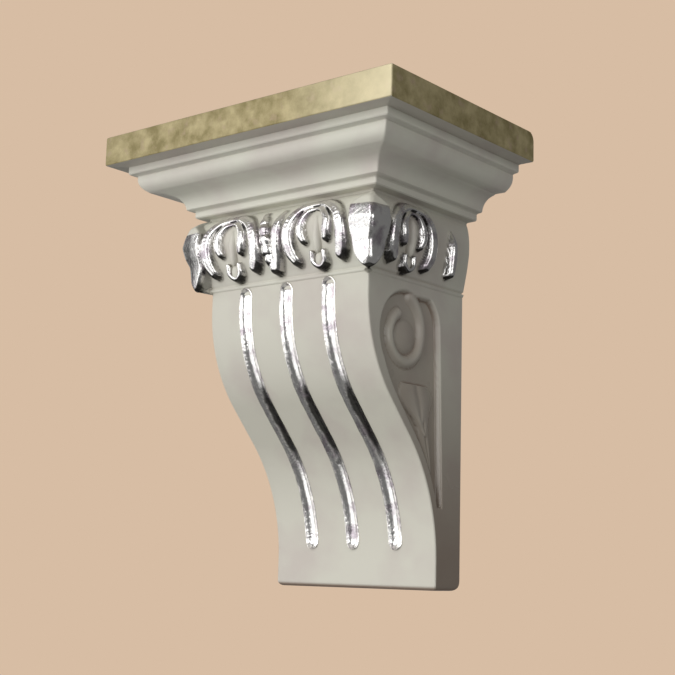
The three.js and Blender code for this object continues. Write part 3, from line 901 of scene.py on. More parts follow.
@dataclass
class LeafBand:
    """The swelling band under the crown: leaf motifs around eggs, and leaves at the corners and the ends."""

    pitch: float = 0.42
    top: float = 36.2
    foot: float = 75.4
    crease: float = 80
    bead_from: float = 70
    bead_line: Outline = ((69.9, 0), (70.5, 0.9), (71, -0.8), (72.1, -0.8), (72.6, 0), (73.2, 0.9))
    side_tuck: float = 1.6
    front_swell: float = 8.3
    side_swell: float = 5.4
    wall_swell: float = 2.2
    fillet: float = 0.9
    motif_x: float = 24.8
    motif_y: float = 48.5
    off_centre: float = -1.6
    end_y: float = 17
    leaf_edge_x: float = 43.4
    leaf_edge_y: float = 69.5
    leaf_top: float = 46
    leaf_open: Pair = (39.5, 46.5)
    leaf_least: float = 0.3
    leaf_hold: float = 61
    leaf_tip: float = 72.8
    leaf_roll: float = 1.6
    leaf_fall: float = 9
    leaf_dish: float = -2
    leaf_arris: float = 1.5
    leaf_feather: float = 0.8
    crest_forward: float = 1.5
    crest_inward: float = 1.3
    crest_full: Pair = (38, 43)
    crest_end: Pair = (-0.6, 0.9)
    crest_least: float = 28
    crest_steps: int = 200
    crest_softness: int = 8
    silvered_rise: Pair = (0.3, 1.3)
    # Painted shade on the steep flanks, in the recesses beside the limbs and over the corner leaf at the left
    # end of the front; each side is also a little darker all over.
    flank_shade: float = 0.45
    flank_slope: Pair = (1.4, 3.2)
    recess_shade: float = 0.12
    recess_depth: Pair = (0.1, 1.0)
    recess_reach: int = 5
    side_darkening: float = 0.1
    shaded_x: Pair = (-47, -51)
    shaded_cover: Pair = (0.2, 0.6)
    shaded_tone: float = 0.72
    outer_groove: float = 0.3
    outer: StrokePoints = (
        (0, 41.4, 2.2, 1.3),
        (7, 42.4, 2, 2),
        (12.8, 47, 1, 2.8),
        (15, 54.5, 1.1, 3.1),
        (14.4, 61, 2, 3.1),
        (12.6, 65, 2.6, 2.5),
    )
    inner: StrokePoints = (
        (0, 43.8, 1.2, 1.1),
        (4.2, 44.8, 1.2, 1.7),
        (7.1, 49.4, 1, 2.1),
        (7.2, 54.4, 1.7, 2.2),
        (6.2, 57.6, 1.9, 1.7),
    )
    cup: StrokePoints = (
        (0, 69, 3.6, 1),
        (3.1, 66.9, 3.2, 1.1),
        (3.3, 62.8, 2.2, 0.9),
    )
    lobe_groove: float = 0.25
    lobe_beads: int = 6
    lobe: StrokePoints = (
        (5.4, 42.6, 0.6, 1.4),
        (3.8, 48, 0.8, 2.4),
        (3, 55, 1.3, 2.6),
        (2.2, 62, 2.3, 2.4),
        (0.6, 67.4, 3.6, 1.7),
    )
    end: StrokePoints = (
        (0, 46, 0.2, 1.2),
        (0, 52, 1.8, 2.2),
        (0, 59, 2.5, 2.4),
        (0, 65, 3.3, 1.9),
    )
    crest_line: Outline = (
        (36, 37.8),
        (32.5, 39.5),
        (29.3, 42.7),
        (27.8, 47.1),
        (26.9, 52),
        (28, 57),
        (29.7, 61),
        (30.4, 68.6),
        (31.5, 71.6),
        (34.2, 73.8),
        (37.5, 74.6),
    )

    def crest(self, drop: np.ndarray) -> tuple[np.ndarray, np.ndarray]:
        """Where the corner leaf's ridge lies.

        Args:
            drop: The drops to look up.

        Returns:
            The ridge's setback from the slab's side, and from the slab's front.
        """
        setbacks, drops = zip(*self.crest_line)
        fine = np.linspace(drops[0], drops[-1], self.crest_steps)
        padded = np.pad(np.interp(fine, drops, setbacks), self.crest_softness, mode="edge")
        kernel = np.hanning(2 * self.crest_softness + 1)
        middle = np.interp(drop, fine, np.convolve(padded, kernel / kernel.sum(), mode="valid"))
        full = smooth_step(*self.crest_full, drop)
        past = smooth_step(*(self.leaf_tip + reach for reach in self.crest_end), drop)
        below = self.bead(drop)
        side = SIZES.half_width - SIZES.scroll_half_width + below
        front = SIZES.slab_depth - SIZES.scroll_depth + below
        ridge_x = middle + self.crest_inward * full
        ridge_y = middle - self.crest_forward * full
        return ridge_x + (side - ridge_x) * past, ridge_y + (front - ridge_y) * past

    def bead(self, drop: np.ndarray) -> np.ndarray:
        """How far the bead under the band and the quirks beside it lie inside the scroll's faces."""
        return np.interp(drop, *zip(*self.bead_line))

    def ground(self, face: Face, across: np.ndarray, drop: np.ndarray) -> np.ndarray:
        """The setback of the bare ground.

        Args:
            face: The face of the band.
            across: x on the front, and the distance from the wall on a side.
            drop: The drops.

        Returns:
            The setback at each place.
        """
        if face is Face.FRONT:
            setback = band_setback(drop, self.front_swell)
            scroll = SIZES.slab_depth - SIZES.scroll_depth
        else:
            reach = np.clip(across / self.leaf_edge_y, 0, 1)
            setback = band_setback(drop, self.wall_swell + (self.side_swell - self.wall_swell) * reach)
            tuck = self.side_tuck * (drop - SIZES.band_top) / (SIZES.band_bottom - SIZES.band_top)
            setback = setback + tuck
            scroll = SIZES.half_width - SIZES.scroll_half_width
        return np.where(drop < self.bead_from, setback, scroll + self.bead(drop))

    def strokes(self, face: Face) -> list[Stroke]:
        """Every limb that lies on a face.

        Args:
            face: The face of the band.

        Returns:
            The limbs, in the face's own places.
        """
        outer = Stroke(mirrored(self.outer), self.outer_groove)
        motif = [outer, Stroke(mirrored(self.inner)), Stroke(mirrored(self.cup))]
        if face is Face.SIDE:
            return [*(limb.moved(self.motif_y) for limb in motif), Stroke(self.end).moved(self.end_y)]
        places = (self.off_centre - self.motif_x, self.off_centre + self.motif_x)
        limbs = [limb.moved(x) for x in places for limb in motif]
        plain = Stroke(self.lobe, self.lobe_groove)
        beaded = Stroke(self.lobe, swellings=self.lobe_beads)
        return [*limbs, plain.moved(self.off_centre), beaded.moved(self.off_centre, -1)]

    def corner_leaf(self, face: Face, across: np.ndarray, drop: np.ndarray) -> tuple[np.ndarray, np.ndarray]:
        """The leaf that is folded over a front corner, as seen on one face.

        Args:
            face: The face of the band.
            across: The distance from the middle on the front, or from the wall on a side.
            drop: The drops.

        Returns:
            The setback of the leaf's surface, and how far inside its edge each place lies.
        """
        crest_x, crest_y = self.crest(drop)
        crest, corner, edge = crest_x, SIZES.slab_depth - crest_y, self.leaf_edge_y
        if face is Face.FRONT:
            crest, corner, edge = crest_y, SIZES.half_width - crest_x, self.leaf_edge_x
        closing = np.clip((drop - self.leaf_hold) / (self.leaf_tip - self.leaf_hold), 0, 1)
        border = edge + (corner - edge) * (1 - np.sqrt(1 - closing**2))
        opening = self.leaf_least + (1 - self.leaf_least) * smooth_step(*self.leaf_open, drop)
        border = corner + (border - corner) * opening
        gap = across - border
        roll = np.sqrt(np.clip(1 - np.clip(1 - gap / self.leaf_roll, 0, 1) ** 2, 0, 1))
        slant = self.leaf_dish * opening * (1 - np.clip(gap / np.maximum(corner - border, 0.1), 0, 1))
        hidden = self.leaf_arris * (1 - math.sqrt(0.5))
        near = np.clip(1 - (corner + hidden - across) / self.leaf_arris, 0, 1)
        rounding = self.leaf_arris * (1 - np.sqrt(1 - near**2)) - hidden
        feather = self.leaf_feather / 2
        inside = smooth_step(0, self.leaf_feather, gap)
        inside = inside * smooth_step(self.leaf_top - feather, self.leaf_top + feather, drop)
        return crest + slant + rounding + self.leaf_fall * (1 - roll), inside * (drop < self.leaf_tip)

    def surface(self, face: Face, across: np.ndarray, drop: np.ndarray) -> tuple[np.ndarray, np.ndarray]:
        """The carved surface of one face.

        Args:
            face: The face of the band.
            across: x on the front, and the distance from the wall on a side.
            drop: The drops.

        Returns:
            The setback of the surface, and the cover of silver leaf.
        """
        height = np.zeros(across.shape)
        cover = np.zeros(across.shape)
        for stroke in self.strokes(face):
            rise = stroke.height(across, drop)
            cover = np.maximum(cover, smooth_step(*self.silvered_rise, rise))
            height = smooth_max(height, rise, self.fillet)
        leaf, inside = self.corner_leaf(face, np.abs(across), drop)
        carved = smooth_max(height - self.ground(face, across, drop), -leaf, self.fillet)
        return -carved, np.maximum(cover, inside)

    def darkening(self, setback: np.ndarray) -> tuple[np.ndarray, np.ndarray]:
        """Where shade is painted.

        Args:
            setback: The carved surface of one face.

        Returns:
            The painted shade on the steep flanks, and the painted shade in the recesses beside them.
        """
        steepness = np.hypot(*np.gradient(setback)) / self.pitch
        toned = self.flank_shade * smooth_step(*self.flank_slope, steepness)
        sunk = setback - blurred(setback, self.recess_reach)
        return toned, self.recess_shade * smooth_step(*self.recess_depth, sunk)

    def build(self, finishes: Finishes) -> Item:
        """Makes the band.

        Args:
            finishes: The shared materials.

        Returns:
            The finished piece.
        """
        drops = np.arange(self.top, self.foot, self.pitch)
        crest_x, crest_y = (values[:, None] for values in self.crest(drops))
        drop = drops[:, None]
        side_steps = round((SIZES.slab_depth - self.crest_least) / self.pitch)
        front_steps = round((SIZES.slab_width - 2 * self.crest_least) / self.pitch)
        along_side = np.linspace(0, 1, side_steps + 1)[None, :] * (SIZES.slab_depth - crest_y)
        along_front = np.linspace(1, -1, front_steps + 1)[None, 1:-1] * (SIZES.half_width - crest_x)
        side_drop = np.broadcast_to(drop, along_side.shape)
        front_drop = np.broadcast_to(drop, along_front.shape)
        side_setback, side_cover = self.surface(Face.SIDE, along_side, side_drop)
        side_setback[:, -1] = crest_x[:, 0]
        front_setback, front_cover = self.surface(Face.FRONT, along_front, front_drop)
        hidden = (drops < SIZES.crown_bottom) | (drops > SIZES.scroll_top)
        along_side[:, 0] = BACK_TUCK * hidden
        side = np.stack([SIZES.half_width - side_setback, -along_side, side_drop], axis=-1)
        front = np.stack([along_front, front_setback - SIZES.slab_depth, front_drop], axis=-1)
        rings = np.concatenate([side, front, side[:, ::-1] * [-1, 1, 1]], axis=1)
        # Painted shade on the flanks and in the recesses; each side is also darkened a little all over.
        side_tone, side_darkening = self.darkening(side_setback)
        side_darkening = self.side_darkening + (1 - self.side_darkening) * side_darkening
        front_tone, front_darkening = self.darkening(front_setback)
        # Painted shade over the corner leaf at the left end of the front.
        shaded = smooth_step(*self.shaded_x, along_front) * smooth_step(*self.shaded_cover, front_cover)
        front_tone = np.maximum(front_tone, self.shaded_tone * shaded)
        marks = {
            "leaf": np.concatenate([side_cover, front_cover, side_cover[:, ::-1]], axis=1),
            "toned": np.concatenate([side_tone, front_tone, side_tone[:, ::-1]], axis=1),
            "glazed": np.concatenate([side_darkening, front_darkening, side_darkening[:, ::-1]], axis=1),
        }
        piece = loft("leaf_band", rings, marks, self.crease)
        piece.data.materials.append(finishes.carving)
        hand_over(piece, Slot.SILVER)
        return piece


@dataclass(frozen=True)
class Pebble:
    """One rounded stone: its drop, its lift above the ground, and its half-sizes."""

    drop: float
    lift: float
    across: float
    out: float
    down: float
    point: float = 0.125
    sides: int = 28
    rows: int = 20

    def mesh(self, swell: float, first: int) -> tuple[list[tuple], list[list[int]]]:
        """The stone's mesh, a little pointed at its foot.

        Args:
            swell: How far the ground under it swells out.
            first: The index of its first point.

        Returns:
            Its points in metres, and its faces.
        """
        middle_y = float(band_setback(np.array(self.drop), swell)) - self.lift
        middle_z = SIZES.height / 2 - self.drop
        points = []
        for row in range(1, self.rows):
            tilt = math.pi * row / self.rows
            ring = math.sin(tilt) * (1 + self.point * math.cos(tilt))
            for turn in (2 * math.pi * side / self.sides for side in range(self.sides)):
                x, y = self.across * ring * math.cos(turn), self.out * ring * math.sin(turn)
                points.append((x, middle_y + y, middle_z + self.down * math.cos(tilt)))
        points += [(0, middle_y, middle_z + self.down), (0, middle_y, middle_z - self.down)]
        faces = []
        last = (self.rows - 2) * self.sides
        for side in range(self.sides):
            ahead = (side + 1) % self.sides
            faces.append([len(points) - 2, side, ahead])
            faces.append([len(points) - 1, last + ahead, last + side])
            for start in range(0, last, self.sides):
                below = start + self.sides
                faces.append([start + side, below + side, below + ahead, start + ahead])
        metres = [tuple(size * MM for size in point) for point in points]
        return metres, [[first + index for index in face] for face in faces]


@dataclass
class Stones:
    """The grey eggs in the leaf motifs and the drops in the cups below them, set by Geometry Nodes."""

    band: LeafBand
    egg: Pebble = Pebble(drop=54.5, lift=-1.8, across=2.6, out=3.4, down=8.6)
    tear: Pebble = Pebble(drop=65.6, lift=1.1, across=2.4, out=2.4, down=3.6)
    side_sink: float = 1.4

    def tree(self) -> Tree:
        """The tree that sets a pair of stones at every station and turns it to face outward.

        Returns:
            The tree. Its geometry input is the stations.
        """
        wanted = {"Stations": "Geometry", "Stone": "Object", "Finish": "Material"}
        tree, given = new_tree("stones at stations", wanted)
        stone = add(tree, "GeometryNodeObjectInfo", {"Object": given["Stone"]})
        turn = add(tree, "GeometryNodeInputNamedAttribute", {"Name": "turn"}, data_type="FLOAT")
        axis = {"Axis": (0, 0, 1), "Angle": turn.outputs["Attribute"]}
        facing = add(tree, "FunctionNodeAxisAngleToRotation", axis).outputs["Rotation"]
        sets = {"Points": given["Stations"], "Instance": stone.outputs["Geometry"], "Rotation": facing}
        copies = add(tree, "GeometryNodeInstanceOnPoints", sets).outputs["Instances"]
        real = add(tree, "GeometryNodeRealizeInstances", {"Geometry": copies})
        end_tree(tree, real.outputs["Geometry"], given["Finish"])
        return tree

    def build(self, finishes: Finishes) -> Item:
        """Makes all the stones as one piece.

        Args:
            finishes: The shared materials.

        Returns:
            The finished piece.
        """
        egg_points, egg_faces = self.egg.mesh(self.band.front_swell, 0)
        tear_points, tear_faces = self.tear.mesh(self.band.front_swell, len(egg_points))
        pair = bpy.data.meshes.new("stone pair")
        pair.from_pydata(egg_points + tear_points, [], egg_faces + tear_faces)
        pair.shade_smooth()
        stone = bpy.data.objects.new("stone pair", pair)
        side_x = SIZES.half_width - self.band.side_tuck - self.side_sink
        stations = (
            (self.band.off_centre - self.band.motif_x, -SIZES.slab_depth, 0),
            (self.band.off_centre + self.band.motif_x, -SIZES.slab_depth, 0),
            (side_x, -self.band.motif_y, QUARTER),
            (-side_x, -self.band.motif_y, -QUARTER),
        )
        mesh = bpy.data.meshes.new("eggs_and_drops")
        mesh.from_pydata([(x * MM, y * MM, 0) for x, y, _ in stations], [], [])
        turns = mesh.attributes.new("turn", "FLOAT", "POINT")
        turns.data.foreach_set("value", [turn for _, _, turn in stations])
        inputs = {"Stone": stone, "Finish": finishes.paint}
        piece = grow(placed("eggs_and_drops", mesh), self.tree(), inputs)
        bpy.data.objects.remove(stone)
        hand_over(piece, Slot.PAINT)
        return piece


@dataclass
class Scroll:
    """The S-shaped scroll: three flutes down its front, and sunk cheeks with a volute and a husk."""

    row_pitch: float = 0.6
    foot_arris: float = 2.2
    foot_steps: int = 8
    cheek_steps: int = 140
    corner_steps: int = 5
    crease: float = 50
    curve_start: float = 80.5
    arc_points: int = 40
    upper_radius: float = 65
    lower_radius: float = 78.7
    slope_length: float = 20.9
    slope_angle: float = math.radians(42.5)
    flute_spacing: float = 24.3
    flute_radius: float = 3.9
    flute_proud: float = 1.7
    flute_top: float = 72.6
    flute_bottom: float = 188
    flute_margin: float = 1.05
    flute_points: int = 19
    gap_points: int = 7
    edge_points: int = 6
    sink: float = 2.8
    bank: float = 1.8
    fillet: float = 1.1
    # Painted shade in the cheek's sunk field, in its crevices and on the foot's arris; the cheek's flats
    # darken from top to foot, and the front gets an even wash.
    recess_shade: float = 0.4
    recess_depth: Pair = (0.1, 1.5)
    crevice_shade: float = 0.55
    crevice_depth: Pair = (0.05, 0.7)
    crevice_reach: int = 3
    cheek_darkening: Pair = (0.12, 0.85)
    foot_shade: float = 1.0
    shaded_foot_part: Pair = (0.1, 0.6)
    front_wash: float = 0.14
    field_top: float = 77
    field_foot: float = 170
    field_arch: float = 13
    rear_top: float = 17.8
    rear_foot: float = 13.9
    apex_y: float = 28
    rim_top: float = 7.5
    rim_foot: float = 4
    volute_y: float = 41.4
    volute_drop: float = 96.2
    volute_radius: float = 20.5
    coil_points: int = 30
    coil_start: float = math.radians(-103)
    coil_turn: float = math.radians(-318)
    coil_outer: float = 18.5
    coil_inner: float = 12
    coil_settle: float = 0.3
    coil_creep: float = 1.2
    coil_half_width: float = 3.0
    coil_flare: float = 0.5
    coil_rise: float = 2.1
    eye_radius: float = 7.4
    eye_rise: float = 1.5
    eye_flank: float = 3
    eye_fillet: float = 0.5
    husk: StrokePoints = (
        (116.5, 134, 33, 12.5),
        (122, 139, 31, 7.5),
        (127, 155, 29, 4.6),
    )
    husk_drift: Sequence[float] = (-3.5, -4.5, -6.4)
    husk_swell: tuple[float, float, float] = (0.2, 0.77, 0.8)
    husk_rise: float = 1.5
    husk_growth: float = 0.9
    husk_lip: float = 0.1
    husk_floor: float = -1
    husk_fillet: float = 0.4
    vein_depth: float = 0.5
    vein_width: float = 0.16

    @property
    def flute_span(self) -> Pair:
        """The drops between which a flute has its full width."""
        return self.flute_top + self.flute_radius, self.flute_bottom - self.flute_radius

    def curve(self) -> tuple[np.ndarray, np.ndarray]:
        """The front of the scroll, from the top arc to the end of the lower one.

        Returns:
            Its depths and its drops.
        """
        turns = np.linspace(0, self.slope_angle, self.arc_points)
        upper_depth = SIZES.scroll_depth - self.upper_radius * (1 - np.cos(turns))
        upper_drop = self.curve_start + self.upper_radius * np.sin(turns)
        run = 1 - math.cos(self.slope_angle)
        fall = math.sin(self.slope_angle)
        foot_depth = upper_depth[-1] - self.slope_length * fall - self.lower_radius * run
        foot_drop = upper_drop[-1] + self.slope_length * math.cos(self.slope_angle) + self.lower_radius * fall
        lower_depth = foot_depth + self.lower_radius * (1 - np.cos(turns[::-1]))
        lower_drop = foot_drop - self.lower_radius * np.sin(turns[::-1])
        return np.concatenate([upper_depth, lower_depth]), np.concatenate([upper_drop, lower_drop])

    def depth(self, drop: np.ndarray) -> np.ndarray:
        """The depth of the scroll's front at each drop."""
        depths, drops = self.curve()
        return np.interp(drop, drops, depths)

    def slope(self, drop: np.ndarray) -> np.ndarray:
        """How far the front moves out over one millimetre of drop. It is negative where it draws in."""
        return self.depth(drop + 0.5) - self.depth(drop - 0.5)

    def flute(self, x: np.ndarray, drop: np.ndarray) -> np.ndarray:
        """The cut of the flutes.

        Args:
            x: The places across the front.
            drop: The drops.

        Returns:
            How deep the front is cut at each place, measured level.
        """
        steep = np.hypot(1, self.slope(drop))
        first, last = self.flute_span
        beyond = (np.maximum(first - drop, 0) + np.maximum(drop - last, 0)) * steep
        across = x - self.flute_spacing * np.clip(np.round(x / self.flute_spacing), -1, 1)
        square = self.flute_radius**2 - across**2 - beyond**2
        return np.maximum(np.sqrt(np.maximum(square, 0)) - self.flute_proud, 0) * steep

    def coil(self) -> Stroke:
        """The volute's rounded coil, which winds down the wall side and in.

        Returns:
            The coil as a limb of the cheek.
        """
        points = []
        for t in np.linspace(0, 1, self.coil_points):
            angle = self.coil_start + self.coil_turn * t
            settled = math.sin(QUARTER * min(1, t / self.coil_settle))
            radius = self.coil_outer + (self.coil_inner - self.coil_outer) * settled - self.coil_creep * t
            wide = self.coil_half_width * (1 + self.coil_flare * (1 - settled))
            across = self.volute_y + radius * math.cos(angle)
            points.append((across, self.volute_drop + radius * math.sin(angle), self.coil_rise - wide, wide))
        return Stroke(points, plumpness=1)

    def husk_leaf(self, y: np.ndarray, drop: np.ndarray, leaf: Sequence[float], drift: float) -> np.ndarray:
        """One leaf of the husk: broad near its top, ridged down the middle, and pointed at its tip.

        Args:
            y: The distances from the wall.
            drop: The drops.
            leaf: Its top, its tip, its place from the wall and its half-width.
            drift: How far its tip lies from its top, along y.

        Returns:
            The height above the sunk floor.
        """
        top, tip, middle, half_width = leaf
        start, span, power = self.husk_swell
        t = np.clip((drop - top) / (tip - top), 0, 1)
        swell = np.sin(np.pi * (start + span * t) ** power)
        q = np.abs(y - middle - drift * t) / (half_width * swell)
        inside = (drop > top) & (drop < tip) & (q < 1)
        vein = self.vein_depth * np.exp(-((q / self.vein_width) ** 2))
        dome = (self.husk_rise + self.husk_growth * t - vein) * np.clip(1 - q**2, 0, 1) ** 0.5
        return np.where(inside, dome + self.husk_lip, self.husk_floor)

    def cheek(self, y: np.ndarray, drop: np.ndarray) -> np.ndarray:
        """The relief of a cheek.

        Args:
            y: The distances from the wall.
            drop: The drops.

        Returns:
            How far the surface stands out from the flat of the cheek, so that a sunk place is negative.
        """
        t = (drop - self.field_top) / (self.field_foot - self.field_top)
        arch = np.clip(1 - (drop - self.field_top) / self.field_arch, 0, 1)
        rear = self.rear_top + (self.rear_foot - self.rear_top) * t
        rear = rear + (self.apex_y - self.rear_top) * (1 - np.sqrt(1 - arch**2))
        rim = self.depth(drop) - (self.rim_top + (self.rim_foot - self.rim_top) * np.clip(t, 0, 1))
        behind = np.where(drop < self.volute_drop, np.minimum(rim, self.volute_y), rim)
        level_gap = np.minimum(y - rear, behind - y)
        upright_gap = np.minimum(drop - self.field_top, self.field_foot - drop)
        from_eye = np.hypot(y - self.volute_y, drop - self.volute_drop)
        gap = np.maximum(np.minimum(level_gap, upright_gap), self.volute_radius - from_eye)
        level = -self.sink * smooth_step(0, self.bank, gap)
        level = smooth_max(level, self.coil().height(y, drop) - self.sink, self.fillet)
        reach = from_eye / self.eye_radius
        dome = self.eye_rise * np.sqrt(np.clip(1 - reach**2, 0, 1))
        eye = np.where(reach < 1, dome, self.eye_flank * (1 - reach))
        level = smooth_max(level, eye - self.sink, self.eye_fillet)
        for leaf, drift in zip(self.husk, self.husk_drift):
            level = smooth_max(level, self.husk_leaf(y, drop, leaf, drift) - self.sink, self.husk_fillet)
        return np.minimum(level, 0)

    def darkening(self, relief: np.ndarray, drop: np.ndarray, worn: np.ndarray) -> tuple[np.ndarray, np.ndarray]:
        """How far each point is darkened toward the dark brown.

        Args:
            relief: The relief of a cheek.
            drop: The drops of its points.
            worn: How far down the foot's arris each row lies, from 0 to 1.

        Returns:
            The darkening of a cheek, and the darkening of each row of the front.
        """
        # Painted shade on the foot's arris, which faces down.
        foot_shade_mark = self.foot_shade * smooth_step(*self.shaded_foot_part, worn)
        # Painted shade in the sunk field and in the crevices beside the relief.
        sunk = self.recess_shade * smooth_step(*self.recess_depth, -relief)
        hollow = blurred(relief, self.crevice_reach) - relief
        crevice = self.crevice_shade * smooth_step(*self.crevice_depth, hollow)
        # The flats of the cheek darken from top to foot; the front gets an even wash.
        high, low = self.cheek_darkening
        flat = high + (low - high) * smooth_step(SIZES.scroll_top, SIZES.height, drop)
        cheek = np.maximum(flat + (1 - flat) * (sunk + crevice), foot_shade_mark)
        return cheek, np.maximum(foot_shade_mark, self.front_wash)

    def front_places(self) -> np.ndarray:
        """The points along the front, close together over the flutes.

        Returns:
            Their x, from the right to the left.
        """
        spacing, reach = self.flute_spacing, self.flute_radius * self.flute_margin
        near = np.linspace(-1, 1, self.flute_points)
        places = [spacing * n + reach * near for n in (-1, 0, 1)]
        for n in (-1, 0):
            gap = np.linspace(spacing * n + reach, spacing * (n + 1) - reach, self.gap_points)
            places.append(gap[1:-1])
        flat = SIZES.scroll_half_width - SIZES.corner_radius
        ends = np.linspace(spacing + reach, flat, self.edge_points)[1:]
        return np.sort(np.concatenate([*places, ends, -ends]))[::-1]

    def build(self, finishes: Finishes) -> Item:
        """Makes the scroll.

        Args:
            finishes: The shared materials.

        Returns:
            The finished piece.
        """
        rounding, radius = SIZES.back_rounding, SIZES.corner_radius
        straight = np.arange(SIZES.scroll_top, SIZES.height - rounding, self.row_pitch)
        turns = np.linspace(0, QUARTER, self.foot_steps + 1)
        drops = np.concatenate([straight, SIZES.height - rounding * (1 - np.sin(turns))])[:, None]
        backs = np.concatenate([np.zeros(len(straight)), rounding * (1 - np.cos(turns))])[:, None]
        backs[0] = BACK_TUCK
        worn = np.maximum(drops - (SIZES.height - self.foot_arris), 0) / self.foot_arris
        drawn_in = self.foot_arris * (1 - np.sqrt(1 - worn**2))
        half = SIZES.scroll_half_width - drawn_in
        depth = self.depth(drops) - drawn_in
        y = backs + np.linspace(0, 1, self.cheek_steps + 1)[None, :] * (depth - radius - backs)
        drop = np.broadcast_to(drops, y.shape)
        relief = self.cheek(y, drop)
        cheek = np.stack([half + relief, -y, drop], axis=-1)
        arc = np.linspace(0, QUARTER, self.corner_steps + 1)[None, 1:-1]
        arc_x = half - radius + radius * np.cos(arc)
        arc_y = -(depth - radius + radius * np.sin(arc))
        corner = np.stack([arc_x, arc_y, np.broadcast_to(drops, arc_x.shape)], axis=-1)
        x = self.front_places()[None, :] * half / SIZES.scroll_half_width
        front_drop = np.broadcast_to(drops, x.shape)
        front = np.stack([x, -(depth - self.flute(x, front_drop)), front_drop], axis=-1)
        flip = np.array([-1, 1, 1])
        rings = np.concatenate([cheek, corner, front, corner[:, ::-1] * flip, cheek[:, ::-1] * flip], axis=1)
        cheek_darkening, row_darkening = self.darkening(relief, drop, worn)
        front_darkening = row_darkening + np.zeros((1, rings.shape[1] - 2 * relief.shape[1]))
        glazed = np.concatenate([cheek_darkening, front_darkening, cheek_darkening[:, ::-1]], axis=1)
        piece = loft("scroll", rings, {"glazed": glazed}, self.crease)
        piece.data.materials.append(finishes.paint)
        hand_over(piece, Slot.PAINT)
        return piece


def poly_curve(name: str, points: StrokePoints, closed: bool) -> bpy.types.Curve:
    """A curve of straight stretches.

    Args:
        name: The curve's name.
        points: Its points as x, y, z and a radius that has no unit.
        closed: Whether it runs back to its start.

    Returns:
        The curve, in metres.
    """
    curve = bpy.data.curves.new(name, "CURVE")
    curve.dimensions = "3D"
    spline = curve.splines.new("POLY")
    spline.points.add(len(points) - 1)
    spline.use_cyclic_u = closed
    for point, (x, y, z, radius) in zip(spline.points, points):
        point.co = (x * MM, y * MM, z * MM, 1)
        point.radius = radius
    return curve


